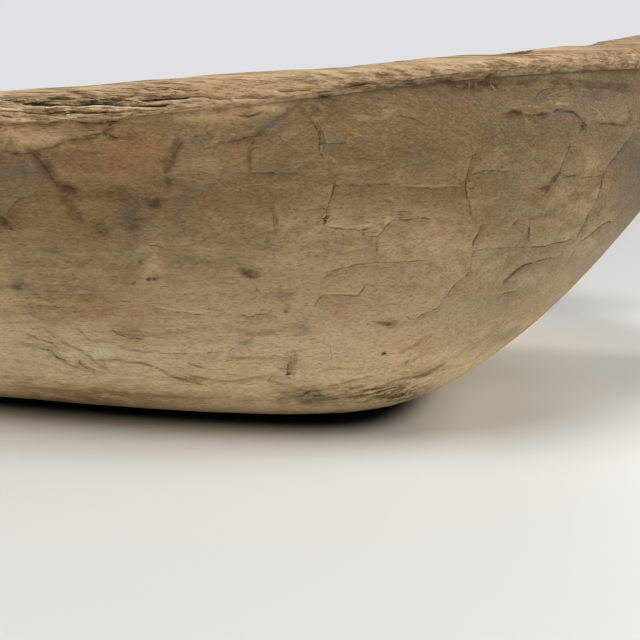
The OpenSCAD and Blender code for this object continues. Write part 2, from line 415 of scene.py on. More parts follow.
# Soft brown strokes, and a painted shadow under the grip and painted shade under the rim at the top right:
stainMarks = dict(
    flowOne=(1.0, 1.9, [(370, 387), (385, 384), (400, 378), (415, 376), (428, 371), (442, 365)]),
    flowTwo=(1.0, 2.6, [(416, 378), (429, 372), (437, 367), (443, 363)]),
    flowThree=(1.0, 2.1, [(325, 400), (343, 397), (367, 397), (387, 395), (400, 392), (408, 390)]),
    flowFour=(0.75, 1.3, [(327, 385), (343, 382), (360, 378), (372, 375)]),
    flowFive=(0.75, 1.3, [(356, 396), (362, 392), (372, 387), (384, 386)]),
    flowSix=(0.8, 1.2, [(352, 402), (370, 401), (384, 398), (396, 397)]),
    flowSeven=(0.55, 1.0, [(395, 386), (408, 382), (420, 378)]),
    flowEight=(0.5, 0.9, [(335, 391), (350, 389), (364, 384)]),
    archLow=(0.85, 1.3, [(97, 360), (116, 360), (133, 362), (148, 364), (160, 368)]),
    scaleLine=(0.7, 1.8, [(4, 151), (20, 154), (40, 152), (55, 147), (72, 140), (92, 136), (108, 133),
                          (122, 130)]),
    archLine=(0.6, 2.0, [(226, 143), (244, 140), (258, 135), (268, 126), (282, 115), (296, 106)]),
    archPostLine=(0.6, 2.0, [(254, 138), (251, 148), (250, 158), (251, 168)]),
    blotchStroke=(0.85, 1.6, [(375, 321), (382, 322), (390, 323), (399, 321)]),
    nickShade=(0.4, 1.8, [(507, 279), (515, 272), (524, 266), (532, 263)]),
    lowArch=(0.6, 1.2, [(80, 329), (86, 337), (92, 340), (104, 340)]),
    lowLeftWave=(0.7, 1.4, [(40, 339), (50, 342), (58, 349), (66, 352)]),
    footStroke=(0.6, 1.2, [(78, 358), (86, 366), (96, 370)]),
    lowSweep=(0.6, 2.0, [(18, 342), (33, 345), (48, 350), (62, 360), (72, 366), (82, 369)]),
    lowSweepNext=(0.7, 1.8, [(46, 330), (58, 338), (70, 346), (82, 351), (92, 358), (109, 371)]),
    lowSweepFoot=(0.35, 1.8, [(0, 371), (18, 375), (38, 380), (60, 384), (82, 386)]),
    lowBrow=(0.6, 1.7, [(112, 331), (126, 334), (142, 335), (158, 333), (176, 331), (194, 330)]),
    lowScallop=(0.6, 1.6, [(188, 374), (204, 378), (222, 381), (240, 380), (256, 377), (269, 373)]),
    lowDrip=(0.6, 1.8, [(270, 380), (282, 384), (294, 387), (306, 390), (320, 392)]),
    lowHaze=(0.5, 2.6, [(236, 327), (244, 331), (252, 333), (264, 332), (276, 330)]),
    thumbSmear=(0.6, 2.2, [(273, 206), (274, 216), (276, 226)]),
    lowTail=(0.5, 1.5, [(118, 345), (132, 349), (146, 351), (158, 350)]),
    lowPeak=(0.5, 1.6, [(318, 372), (328, 368), (340, 366), (352, 368), (364, 366)]),
    lowPostShade=(0.6, 2.0, [(294, 350), (296, 358), (292, 366), (294, 376)]),
    sideDrip=(0.45, 1.5, [(398, 352), (412, 346), (424, 338), (436, 332)]),
    archLowEnd=(1, 1.7, [(158, 367), (170, 375), (187, 380), (203, 384)]),
    barLow=(0.65, 1.5, [(230, 357), (247, 357), (260, 357), (275, 357)]),
    strokeLow=(0.8, 1.3, [(187, 362), (199, 366), (208, 367)]),
    browEdge=(0.5, 1.4, [(65, 261), (74, 263), (80, 266), (87, 262)]),
    diagonalBand=(0.9, 4.2, [(30, 151), (40, 160), (50, 172), (59, 185), (66, 196), (73, 207)]),
    diagonalFoot=(0.9, 3.4, [(56, 183), (66, 187), (78, 189)]),
    arcBrown=(0.8, 3.0, [(181, 140), (174, 150), (169, 162), (167, 176)]),
    arcBrownFoot=(0.7, 2.6, [(168, 174), (166, 184), (168, 190)]),
    streakOne=(0.7, 4.0, [(69, 200), (73, 214), (78, 220), (84, 224)]),
    streakTwo=(0.8, 3.6, [(98, 223), (103, 230), (108, 235)]),
    brownStop=(1.0, 4.6, [(151, 201), (155, 203), (160, 202)]),
    brownStopTop=(0.5, 2.2, [(150, 183), (158, 184), (165, 182)]),
    redStop=(0.8, 2.0, [(0, 217), (4, 219), (8, 222)]),
    redStopEnd=(1.0, 1.0, [(10, 228), (13, 229)]),
    stopRow=(0.35, 1.2, [(41, 250), (50, 252), (61, 253)]),
    knotLeft=(0.7, 2.4, [(240, 267), (243, 271), (246, 275)]),
    knotFoot=(0.75, 3.4, [(245, 273), (250, 275), (256, 276)]),
    knotRight=(0.6, 2.6, [(255, 278), (257, 275), (259, 272)]),
    knotSmall=(0.7, 0.8, [(256, 290), (258, 286)]),
    streakMiddle=(0.35, 1.6, [(274, 204), (273, 214), (274, 225), (276, 233)]),
    blobMiddle=(0.7, 1.2, [(270, 173), (273, 173)]),
    hookStain=(0.8, 1.3, [(154, 310), (160, 313), (165, 314)]),
    redSlant=(0.4, 1.2, [(343, 137), (350, 135), (354, 138)]),
    blotchLine=(0.85, 2.0, [(508, 117), (515, 114), (521, 112), (525, 113)]),
    blotchLineNext=(0.75, 1.8, [(539, 116), (545, 115), (551, 112)]),
    blotchPoint=(0.9, 1.8, [(584, 122), (581, 127), (580, 131)]),
    softSlant=(0.35, 2.0, [(534, 217), (545, 214), (552, 211), (559, 202)]),
    scaleShade=(0.3, 1.6, [(40, 152), (50, 150), (62, 145)]),
    bottomBrown=(0.5, 2.4, [(0, 386), (40, 389), (80, 391), (130, 394), (170, 397), (212, 400)]),
    gripShadow=(1.0, 1.7, [(552, 81), (570, 83), (588, 85), (605, 87), (620, 89), (632, 91)]),
    gripShadowTop=(0.9, 1.9, [(560, 80), (590, 82), (620, 85), (631, 88)]),
    bandShade=(0.7, 1.4, [(350, 82), (400, 81), (440, 81), (470, 82), (505, 83), (540, 80)]),
)
# Pale flecks and hairs, and painted highlights along ridges that catch the light:
paleMarks = dict(
    fleckOne=(0.9, 0.8, [(470.5, 88), (470.5, 86)]),
    fleckTwo=(0.9, 0.8, [(494.4, 88), (493.5, 86.5)]),
    ridgeOne=(0.35, 1.3, [(555, 104.5), (563, 104), (571, 105)]),
    ridgeTwo=(0.4, 1.3, [(529, 106), (541, 108)]),
    ridgeLip=(1.0, 1.9, [(0, 121), (31, 120.5), (46, 120.5), (56, 118.6), (66, 118.2), (90, 117.8),
                         (115, 117.8), (130, 117)]),
    rowHigh=(0.8, 1.2, [(30, 107), (50, 107.5), (70, 107), (92, 107), (112, 107), (125, 107.5)]),
    rowMiddle=(0.8, 1.0, [(60, 110.5), (80, 110), (98, 110), (115, 110), (124, 111)]),
    rowLeft=(0.8, 1.1, [(0, 109), (12, 109), (22, 110)]),
    rowLow=(0.8, 1.0, [(24, 115.5), (35, 115.5), (45, 116), (56, 116.5)]),
    rowFar=(0.8, 1.0, [(128, 109), (140, 109), (150, 109)]),
    ridgeUnder=(0.4, 1.0, [(102, 107), (118, 108.5), (140, 108.7), (160, 108)]),
    ridgeBand=(0.8, 1.2, [(146, 104), (152, 103), (160, 103), (168, 102)]),
    ridgeFar=(0.45, 1.0, [(160, 101.3), (175, 101), (192, 100)]),
    ridgeLow=(0.8, 1.2, [(0, 114), (8, 115), (15, 116.4), (22, 115)]),
    ridgeSill=(0.5, 1.1, [(332, 226), (345, 227.5), (360, 227), (372, 225)]),
    ridgeTop=(0.25, 0.8, [(404, 185.5), (425, 186.5), (455, 186)]),
    ridgeBox=(0.4, 0.8, [(322, 293.5), (340, 293.5), (356, 293.5)]),
    ridgeRow=(0.35, 0.8, [(160, 307), (180, 310), (205, 312.5)]),
    fleckKnot=(0.5, 0.9, [(266, 271), (267, 272)]),
    fleckKnotTwo=(0.4, 0.8, [(276, 270), (277, 270)]),
    ridgeSlant=(0.25, 0.7, [(393, 216), (388, 221), (383, 226)]),
    ridgeArm=(0.3, 0.8, [(300, 252), (320, 252)]),
    hairOne=(0.28, 0.4, [(533, 107), (545, 103), (556, 101)]),
    hairTwo=(0.25, 0.4, [(548, 97), (560, 92), (572, 90)]),
    hairThree=(0.22, 0.4, [(575, 128), (590, 121), (602, 118)]),
    hairFour=(0.22, 0.4, [(588, 104), (598, 112), (606, 122)]),
    hairFive=(0.2, 0.4, [(430, 100), (436, 108), (440, 118)]),
    hairSix=(0.2, 0.4, [(392, 96), (404, 101), (412, 104)]),
)
# Small crisp dark spots:
blotMarks = dict(
    triangleBody=(1.0, 2.4, [(559, 174), (555, 179), (551, 184)]),
    triangleTip=(1.0, 1.0, [(561, 168), (559, 174)]),
    triangleWing=(1.0, 1.6, [(553, 184), (546, 187), (540, 188)]),
    triangleFoot=(0.9, 1.5, [(551, 184), (547, 190), (545, 192)]),
    triangleArm=(0.6, 0.8, [(560, 176), (566, 175)]),
    brownStop=(0.9, 2.6, [(152, 202), (156, 204), (160, 203)]),
    brownStopTop=(0.7, 1.3, [(156, 199), (161, 200)]),
    redStop=(0.8, 1.8, [(0, 217), (4, 219), (8, 222)]),
    redStopFoot=(0.7, 1.2, [(9, 228), (13, 229)]),
    knotSide=(0.5, 1.7, [(242, 269), (247, 275)]),
    knotFoot=(0.75, 2.0, [(246, 275), (256, 276.5)]),
    knotTop=(0.4, 1.2, [(257, 275), (259, 272)]),
    forkUp=(0.9, 1.3, [(577, 238), (588, 213)]),
    forkRight=(0.75, 1.1, [(580, 243), (590, 234), (603, 224), (612, 221)]),
    forkLeft=(0.5, 0.9, [(533, 247), (550, 245), (566, 241)]),
    chinEdge=(0.6, 1.1, [(504, 284), (513, 274), (526, 264), (538, 260)]),
    diagonalStop=(0.7, 1.8, [(61, 186), (68, 187), (77, 189)]),
    diagonalTop=(0.6, 1.5, [(34, 154), (40, 160), (46, 168)]),
    nickTwo=(0.8, 1.2, [(530, 228), (529, 238)]),
    nickFour=(0.7, 1.2, [(470, 211), (472, 215)]),
    footBlot=(0.7, 1.5, [(299, 394), (308, 396), (318, 394)]),
    footBlotNext=(0.6, 1.2, [(296, 399), (306, 401)]),
    archFootBlot=(0.6, 1.5, [(166, 176), (168, 182), (171, 186)]),
    hookBlot=(0.7, 1.2, [(136, 337), (140, 339), (145, 337)]),
    postBlot=(0.7, 1.2, [(289, 362), (288, 372)]),
    blotchKnee=(0.6, 1.6, [(583, 122), (581, 128), (579, 131)]),
    blotchLeft=(0.6, 1.8, [(509, 114), (516, 112), (523, 113)]),
    rimBlot=(0.8, 1.6, [(38, 103.5), (50, 105), (58, 104)]),
)
# Soft patches of another tint, some of them painted light or painted shade: the pixel in the middle, half
# width and half height in pixels, how strong
tintPatches = dict(
    # warmer wood; the patch on the rim's top bevel is also painted light there
    warm=dict(
        leftScoop=(50, 134, 66, 12, 1.2), leftWide=(90, 172, 66, 44, 0.55),
        archWarm=(240, 162, 16, 14, 0.8), brownUnder=(105, 132, 26, 7, 0.8),
        edgeLow=(110, 398, 90, 7, 0.5), bandLitWarm=(200, 90, 70, 12, 0.5),
        leftShoulder=(146, 152, 22, 17, 0.7), pinkBlock=(340, 313, 21, 15, 1.0),
        middleBrown=(212, 196, 26, 18, 0.6), rightPink=(560, 165, 24, 20, 0.45),
        rightColumn=(470, 120, 26, 34, 0.3), nearGrey=(610, 148, 13, 20, 0.7),
        farPink=(536, 205, 22, 16, 0.35), lowPink=(180, 334, 22, 12, 0.5),
        lowLeftPink=(78, 308, 60, 14, 0.5), redBits=(352, 132, 14, 8, 0.5),
        columnPink=(340, 196, 10, 12, 0.35), leftFoot=(90, 392, 80, 8, 0.4),
        lipOrange=(232, 112, 14, 16, 0.7), topOrange=(216, 86, 34, 8, 0.6),
        sideBrown=(166, 195, 10, 14, 0.6), blockFoot=(236, 330, 26, 12, 0.3),
        leftMiddle=(80, 215, 40, 18, 0.35), upperMiddle=(400, 132, 20, 12, 0.4),
        lowRight=(432, 330, 30, 20, 0.25), brownLow=(120, 325, 14, 10, 0.5),
        footWarm=(60, 392, 90, 7, 0.2), lowPeach=(116, 348, 64, 16, 0.85),
        rowWarm=(110, 300, 80, 14, 0.4), archUnder=(214, 160, 30, 14, 0.4),
    ),
    grey=dict(
        rightSide=(590, 190, 80, 110, 0.85), lowRight=(520, 295, 36, 40, 0.8),
        lowRightTwo=(462, 325, 46, 22, 0.5), topGrey=(440, 92, 200, 12, 0.4),
        leftUnder=(24, 172, 24, 12, 0.8), leftColumn=(132, 212, 14, 20, 1.1),
        leftColumnLow=(130, 258, 9, 24, 0.6), archGrey=(272, 124, 22, 12, 0.7),
        crackGrey=(330, 140, 12, 14, 0.4), squareGrey=(350, 192, 16, 8, 0.4),
        middleGreen=(300, 326, 10, 9, 0.9), nearGreen=(246, 341, 9, 4, 0.7),
        smudge=(178, 230, 18, 8, 0.6), sillGrey=(352, 236, 20, 8, 0.45), underLine=(412, 226, 14, 6, 0.6),
        rightEnd=(632, 170, 26, 52, 1.2), rightLow=(600, 232, 26, 30, 0.6),
        rightTop=(620, 112, 30, 22, 0.7), bottomGreen=(306, 396, 30, 8, 1.2),
        slantGrey=(546, 211, 14, 8, 0.6), columnGreen=(508, 200, 14, 34, 0.5),
        topColumn=(415, 150, 16, 30, 0.4), archLeft=(205, 160, 30, 24, 0.6),
        archRow=(200, 192, 34, 12, 0.5), leftSpecks=(50, 252, 16, 6, 0.6),
        besideHook=(100, 345, 16, 6, 0.3), underCrack=(284, 292, 12, 5, 0.6),
        upperLeft=(8, 190, 14, 16, 0.4), lowMiddle=(246, 300, 30, 10, 0.25),
        leftFoot=(20, 286, 10, 10, 0.7), greenLeft=(180, 206, 12, 14, 0.5),
        farGreen=(450, 262, 14, 10, 0.3), bendGrey=(520, 270, 24, 18, 0.3),
        wideGrey=(490, 280, 90, 50, 0.45), highGrey=(480, 122, 60, 32, 0.4),
        rimGrey=(290, 92, 40, 8, 0.3),
    ),
    # paler wood, and painted highlights on the rim's lit top, lip and ridges
    pale=dict(
        rimRidgeHighlight=(60, 108.3, 85, 2.4, 1.4), rimLipHighlight=(62, 118, 78, 2.6, 1.5), rimTopLight=(20, 90, 40, 4, 0.8),
        rimMiddle=(180, 108, 60, 6, 0.6), leftScoop=(50, 134, 62, 11, 1.5),
        underBand=(206, 117, 38, 8, 0.6), underBandEnd=(262, 108, 26, 6, 1.0),
        rightTopPale=(625, 118, 24, 20, 0.5), rightMiddlePale=(575, 205, 50, 40, 0.5),
        bandLitPale=(210, 90, 70, 14, 0.7), middleGlow=(390, 258, 150, 62, 0.5),
        scuff=(152, 262, 14, 18, 0.55), scuffLow=(144, 284, 16, 12, 0.4), leftPale=(8, 300, 16, 12, 0.6),
        lowBand=(240, 372, 90, 16, 0.5), lowRightBand=(390, 345, 60, 30, 0.45),
        middlePale=(440, 250, 30, 34, 0.4), squarePale=(380, 222, 16, 5, 0.3),
        leftLine=(30, 257, 26, 4, 0.4), upperLeft=(40, 137, 34, 10, 0.35),
        rightPale=(520, 290, 40, 26, 0.3), farPale=(588, 150, 16, 24, 0.25),
        knotPale=(290, 260, 18, 14, 0.35), midPale=(220, 250, 26, 8, 0.3),
        cornerPale=(540, 320, 40, 20, 0.3), squareGlow=(330, 226, 80, 18, 0.35),
        footPale=(345, 358, 26, 14, 0.2), bendPale=(440, 332, 30, 16, 0.2),
        lowLeftPale=(80, 332, 40, 13, 0.2), archPale=(200, 166, 24, 14, 0.5),
        facetPale=(600, 172, 18, 20, 0.4), rimBright=(300, 89, 44, 6, 1.0),
    ),
    # paler, greyer wood, and painted light on the lower wall, where the table lights it
    light=dict(
        wide=(480, 262, 90, 30, 0.3), side=(592, 242, 34, 24, 0.4), lowRight=(450, 318, 80, 20, 0.36),
        bend=(345, 350, 30, 22, 0.35), sideLow=(556, 300, 30, 24, 0.25), post=(330, 226, 70, 14, 0.18),
        flank=(556, 190, 50, 30, 0.18), lip=(20, 104, 20, 4, 0.2), lowLeft=(80, 350, 60, 12, 1.0),
        lowLeftGlow=(140, 354, 80, 11, 0.7), lowLeftTop=(90, 334, 50, 8, 0.35),
        lowMiddle=(214, 336, 40, 10, 0.25), block=(338, 318, 24, 14, 0.3), scuff=(153, 258, 9, 16, 0.5),
        leftEnd=(8, 300, 14, 10, 0.35), row=(540, 274, 40, 10, 0.15), rimTopLight=(14, 90, 20, 3, 0.3),
    ),
    # stains, pin holes and a knot, and painted shade under the rim, its lip and the grip, in the rim's
    # recesses and along the bottom edge
    stainAndShade=dict(
        wormHole=(383.4, 352.6, 1.9, 1.6, 3.5), pinLow=(392.7, 370.6, 1.2, 1.0, 1.6),
        pinBeside=(403.8, 351.2, 1.2, 1.0, 1.6), pinNear=(406.8, 360.6, 1.2, 1.0, 1.6),
        pinRight=(470.8, 187.6, 1.5, 1.5, 3.0), pinLeft=(149, 279, 2.2, 2.0, 2.0),
        pinLeftTwo=(156, 276, 3.4, 3.0, 2.2), pinLeftThree=(135, 282, 1.4, 1.4, 2.6),
        pinMiddle=(242, 228, 1.4, 1.2, 2.4), pinCorner=(288.3, 373.7, 2.0, 1.8, 2.4),
        pinGrey=(466, 327, 1.6, 1.2, 1.6), pinFoot=(286, 311, 1.8, 1.5, 2.0),
        pinHigh=(382, 297, 1.2, 1.2, 1.6), pinTop=(406, 138, 1.4, 1.2, 1.2),
        pinScuff=(140, 262, 1.6, 1.4, 1.8), underRimShade=(500, 84, 150, 11, 0.55),
        underScoop=(106, 136, 26, 6, 0.9), diagonal=(46, 165, 7, 9, 0.6),
        diagonalLow=(62, 186, 12, 5, 0.7), diagonalFoot=(76, 210, 8, 14, 0.5),
        columnTop=(122, 195, 10, 10, 0.5), columnFoot=(138, 228, 12, 12, 0.5),
        smudgeUnder=(98, 230, 9, 7, 0.6), leftEdge=(6, 220, 12, 9, 0.8), arcDark=(168, 168, 5, 14, 0.25),
        arcSpot=(155, 203, 8, 5, 0.8), brinkShade=(318, 110, 22, 12, 0.8), leftRow=(90, 194, 60, 6, 0.3),
        leftLow=(100, 230, 50, 12, 0.25), oliveFoot=(306, 392, 14, 5, 0.6),
        flowShade=(385, 388, 50, 9, 0.75), flowShadeEnd=(428, 372, 18, 6, 0.35),
        hookShade=(288, 362, 5, 12, 0.4), waveShade=(190, 378, 24, 5, 0.4),
        stepShade=(135, 330, 16, 5, 0.5), lowLeftShade=(80, 350, 20, 5, 0.35),
        lineShade=(60, 340, 40, 4, 0.25), underFlow=(385, 396, 50, 9, 0.9),
        blotchLow=(387, 323, 12, 4, 0.9), blotchLowEnd=(393, 323, 5, 4, 0.5),
        bottomBlotch=(306, 395, 20, 6, 0.9), leftTop=(110, 111, 8, 3, 0.6),
        underLipShade=(102, 122, 10, 3, 0.8), greyMark=(116, 192, 12, 8, 0.4),
        darkColumn=(135, 214, 8, 14, 0.5), leftStop=(19, 287, 6, 5, 0.6),
        archShade=(262, 130, 8, 10, 0.3), knot=(250, 273, 9, 5, 0.9), brownHook=(138, 333, 6, 5, 0.6),
        upperBrown=(180, 172, 22, 12, 0.3), topShade=(480, 84, 36, 5, 0.7),
        topShadeTwo=(400, 84, 40, 4, 0.5), rimRecessShade=(75, 98.5, 60, 3.6, 1.3),
        rimRecessShadeRight=(140, 96.5, 34, 3.2, 1.0), rimRecessShadeLow=(78, 113, 42, 1.6, 1.0),
        roughOne=(43, 93, 5, 3, 0.8), roughTwo=(68, 97, 6, 3, 0.5), roughThree=(92, 96, 14, 5, 0.6),
        roughFour=(130, 93, 24, 6, 0.5), brinkBrown=(328, 97, 8, 4, 0.5),
        leftBrown=(86, 262, 12, 5, 0.35), bottomShade=(110, 400, 150, 8, 0.45),
        triangle=(555, 179, 4, 6, 0.5), triangleWing=(547, 187, 5, 2.5, 0.5),
        blotchRight=(516, 113, 10, 3.5, 1.1), blotchRightTwo=(535, 115, 10, 3, 0.7),
        underBlotch=(510, 120, 5, 4, 0.5), archFoot=(290, 170, 22, 12, 0.35),
        leftShade=(50, 290, 70, 22, 0.45), underGripShade=(575, 93, 34, 7, 0.6),
        scoopUnder=(100, 140, 40, 6, 0.5), bandDark=(202, 101, 16, 3, 0.8),
        farTopDark=(632, 118, 16, 8, 0.4), blotchPoint=(582, 126, 5, 5, 0.8),
        farRow=(615, 124, 20, 3, 0.6), underGrey=(296, 358, 10, 5, 0.25),
        leftEdgeBrown=(3, 219, 5, 5, 0.5),
    ),
)


markForm = dict(step=0.6, endInk=0.45, endWidth=0.6, taper=0.16, shortTaper=2.5)      # lengths in pixels
shakeForm = dict(wide=(5, 0.5), fine=(1.8, 0.2))       # waves and reach of a slight shake, in mm


def castMarks(marks, rise):
    # lays the listed lines on the bowl, as close-set points with their pixel, heading, ink and width
    m = markForm
    rows = np.where(outside[:, 0])[0][::3]             # every third ring and second column are close enough
    near = np.where((t > math.radians(-88)) & (t < math.radians(20)))[0][::2]
    n = len(near)
    quads = [(r * n + c, r * n + c + 1, (r + 1) * n + c + 1, (r + 1) * n + c)
             for r in range(len(rows) - 1) for c in range(n - 1)]
    tree = BVHTree.FromPolygons(base[np.ix_(rows, near)].reshape(-1, 3).tolist(), quads)
    found = []
    for ink, width, path in marks.values():
        path = np.array(path, float)
        run = np.concatenate([[0], np.cumsum(np.linalg.norm(np.diff(path, axis=0), axis=1))])
        way = np.linspace(0, run[-1], max(3, int(run[-1] / m["step"])))
        spots = np.stack([np.interp(way, run, path[:, 0]), np.interp(way, run, path[:, 1])], -1)
        spots[1:-1] = (spots[:-2] + spots[1:-1] * 2 + spots[2:]) / 4
        heading = np.gradient(spots, axis=0)
        heading /= np.maximum(np.linalg.norm(heading, axis=1, keepdims=True), 1e-9)
        heading *= np.where(heading[:, :1] + 0.2 * heading[:, 1:] < 0, -1, 1)
        taper = np.minimum(way, run[-1] - way) / max(m["shortTaper"], m["taper"] * run[-1])
        taper = np.clip(taper + m["endInk"], 0, 1)
        for (x, y), (u, v), strength in zip(spots, heading, taper):
            aside, above = x - view["frame"] / 2, view["frame"] / 2 - y + rise
            ray = ahead + (right * aside + up * above) / view["focal"]
            hit = tree.ray_cast(view["place"], ray.tolist())[0]
            if hit is not None:
                thick = width * (m["endWidth"] + (1 - m["endWidth"]) * strength)
                found.append((*hit, x, y - rise, u, v, ink * strength, thick))
    return np.array(found)


wide, fine = shakeForm["wide"], shakeForm["fine"]
shake = np.stack([wide[1] * softNoise(base, wide[0], seed) + fine[1] * softNoise(base, fine[0], seed + 3)
                  for seed in (1, 2, 3)], -1)
seen = photoZone > 0
meshStep = np.linalg.norm(np.roll(base, -1, axis=1) - base, axis=-1)      # mm between neighbouring columns


def lineField(signed, width, ink):
    # what the wood shader needs to draw a line finer than the mesh: the way to it in its own half-widths
    # and its ink, which is held close to the line. The third number of the vector is spare
    reach = 1.1 + meshStep + 0.7 * width
    held = ink * (1 - fade(np.abs(signed), reach * 0.75, reach * 1.5))
    return np.stack([signed / width * 2, held, 0 * held], -1)


def markField(marks, bend=1, rise=0):
    # for each point of the near side: what the shader needs, then the way to the nearest mark, which is
    # below 0 underneath it, and its ink and width. bend is its share of the shake, rise lifts it by pixels
    shaken = base + bend * shake
    shakenX, shakenY = pixelOf(shaken)[:2]
    found = castMarks(marks, rise)
    tree = KDTree(len(found))
    for i, row in enumerate(found):
        tree.insert(row[:3], i)
    tree.balance()
    chosen, gap = np.zeros(seen.shape, int), np.full(seen.shape, 99.0)
    for (r, c), p in zip(np.argwhere(seen), shaken[seen].tolist()):
        _, chosen[r, c], gap[r, c] = tree.find(p)
    x, y, u, v, ink, width = np.moveaxis(found[chosen, 3:], -1, 0)
    above = u * (y - shakenY) + v * (shakenX - x)
    signed = np.where(above < 0, -gap, gap)
    ink = np.where(gap < 98, ink, 0)
    return lineField(signed, width, ink), signed, ink, width


cutLine, cutWay, cutInk, cutWidth = markField(cutMarks)
_, crackWay, crackInk, crackWidth = markField(rimCracks, 0.35, 1.6)
stainLine = markField(stainMarks)[0]
paleLine, paleWay, paleInk, paleWidth = markField(paleMarks, 0.6, 0.8)
blotLine = markField(blotMarks)[0]
marksLaid = sum(len(marks) for marks in (cutMarks, rimCracks, stainMarks, paleMarks, blotMarks))
print("hand-placed marks laid:", marksLaid)

shakenX, shakenY = pixelOf(base + shake)[:2]


def patchField(patches):
    total = 0
    for x, y, wide, high, strength in patches.values():
        total = total + strength * np.exp(-((shakenX - x) / wide) ** 2 - ((shakenY - y) / high) ** 2)
    return total * photoZone


tint = np.stack([patchField(tintPatches[k]) for k in ("warm", "grey", "pale")], -1)
# stains and painted shade, less the paler wood and painted light
stainShadeAndLight = patchField(tintPatches["stainAndShade"]) - patchField(tintPatches["light"])

# The rest of the bowl: tool cuts all over, and cracks that follow the grain along x
cutForm = dict(
    wallLength=25, wallHeight=17, wallDepth=0.5, photoDepth=0.22,      # photoDepth is that of the near side
    hollowLength=42, hollowHeight=27, hollowDepth=1.9,
    footLength=30, footWidth=22, footDepth=0.6,
    shown=0.6, lineWidth=0.55, lineInk=0.75,                           # the dark line at a cut's edge
)
waveForm = dict(
    wallOut=1.1, lipRise=1.0,
    longDepth=1.1, longSize=(110, 70, 60), shortDepth=0.3, shortSize=(34, 16, 14),
    fibreDepth=0.1, fibreSize=(40, 2.2, 2.2), topDepth=0.9, topSize=(60, 5, 5),
    rimFibre=0.3, rimFibreSize=(45, 1.3, 1.3), rimWave=2.4, rimWaveSize=(80, 45, 60),
    chipDepth=1.6, chipSize=(22, 14, 14),
    markDepth=0.3, markStep=0.18, facetDepth=0.35,
)
crackForm = dict(
    spacing=4.2, shown=0.3, width=0.7, reach=15,
    endSpacing=15, endShown=0.35, endReach=34, depth=1.1,
)

edgeWay = np.stack(edgePoint(0, 0, t), -1)
around = np.concatenate([[0], np.cumsum(np.linalg.norm(np.diff(edgeWay, axis=0), axis=1))])
perimeter = around[-1] + np.linalg.norm(edgeWay[0] - edgeWay[-1])
climb = np.concatenate([[0 * t], np.cumsum(np.linalg.norm(np.diff(base, axis=0), axis=-1), axis=0)])
isFoot, isWall = ringNames == "foot", ringNames == "wall"
isRim, isHollow = np.isin(ringNames, ("edge", "top", "brink")), ringNames == "hollow"


def wrapCuts(length, height, way, seed):
    count = int(round(perimeter / length))
    bent = way / height + 0.4 * softNoise(base, 90, seed + 7)
    depth, signed, edge, owner = toolCuts(around[None] / perimeter * count + 0 * way, bent, count, seed)
    return depth, signed * (length + height) / 2, edge, owner


def flatCuts(length, width, seed):
    depth, signed, edge, owner = toolCuts(base[..., 0] / length, base[..., 1] / width, 10 ** 6, seed)
    return depth, signed * (length + width) / 2, edge, owner


wallCuts = wrapCuts(cutForm["wallLength"], cutForm["wallHeight"], climb - climb[isFoot][-1], 11)
hollowCuts = wrapCuts(cutForm["hollowLength"], cutForm["hollowHeight"], climb - climb[isHollow][0], 21)
floorCuts = flatCuts(cutForm["hollowLength"], cutForm["hollowHeight"], 31)
footCuts = flatCuts(cutForm["footLength"], cutForm["footWidth"], 41)
onFloor = (isHollow & (ringShares < 0.62))[:, None]
pick = [isFoot[:, None], onFloor, isHollow[:, None]]
cutDepth, facetWay, facetEdge, facetOwner = [
    np.select(pick, [footCuts[k], floorCuts[k], hollowCuts[k]], wallCuts[k]) for k in range(4)]
depthHere = np.select(pick, [cutForm["footDepth"], cutForm["hollowDepth"], cutForm["hollowDepth"]],
                      cutForm["wallDepth"] + (cutForm["photoDepth"] - cutForm["wallDepth"]) * photoZone)
depthHere = depthHere * np.where(isRim, 0, 1)[:, None]
worn = fade(softNoise(base, 45, 51) + 0.5 * softNoise(base, 14, 52), -0.35, 0.5)
facetInk = np.where(facetEdge > cutForm["shown"], cutForm["lineInk"], 0) * worn * (1 - photoZone)
facetInk = facetInk * np.where(isRim, 0, np.where(isHollow, 0.45, 1))[:, None]
facetLine = lineField(facetWay, cutForm["lineWidth"], facetInk)


def grainCracks(level, spacing, shown, seed):
    # cracks along x, at about even levels: the way to the nearest one and how strongly it shows
    x = base[..., 0]
    sway = 0.45 * softNoise(np.stack([x, 0 * x, 0 * x], -1), 60, seed)
    q = level / spacing + sway + 0.12 * softNoise(base, 9, seed + 1)
    k = np.floor(q)
    spots = np.stack([x, k * 40, 0 * x], -1)
    present = softNoise(spots, 40, seed + 2) + 0.35 * softNoise(spots, 11, seed + 3)
    return (q - k - 0.5) * spacing, fade(present, shown, shown + 0.35)


dropHere = rimHeight(t)[None] - base[..., 2]
reach, endReach = crackForm["reach"], crackForm["endReach"]
nearRim = np.where(isHollow[:, None], 1 - fade(dropHere, 3, 9), 1 - fade(dropHere, reach * 0.5, reach))
nearRim = nearRim * np.where(isFoot, 0, 1)[:, None]
flatTop = ((ringNames == "top") & (ringShares == 1))[:, None]
level = np.where(flatTop, base[..., 1], base[..., 2])
sideWay, sideInk = grainCracks(level, crackForm["spacing"], crackForm["shown"], 61)
sideInk = sideInk * nearRim * (1 - photoZone) * (1 - gripShare(t))[None]
endWay, endInk = grainCracks(base[..., 1], crackForm["endSpacing"], crackForm["endShown"], 71)
endInk = endInk * fade(gripShare(t), 0.45, 0.8)[None] * (1 - fade(dropHere, endReach * 0.5, endReach))
endInk = endInk * np.where(isFoot | isHollow, 0, 1)[:, None] * (1 - photoZone)
otherWay, otherInk = np.where(endInk > sideInk, endWay, sideWay), np.maximum(endInk, sideInk)
photoCrack = crackInk > 0
crackWay = np.where(photoCrack, crackWay, otherWay)
crackInk = np.where(photoCrack, crackInk, otherInk * 0.9)
crackWidth = np.where(photoCrack, crackWidth, crackForm["width"])
crackLine = lineField(crackWay, crackWidth, crackInk)

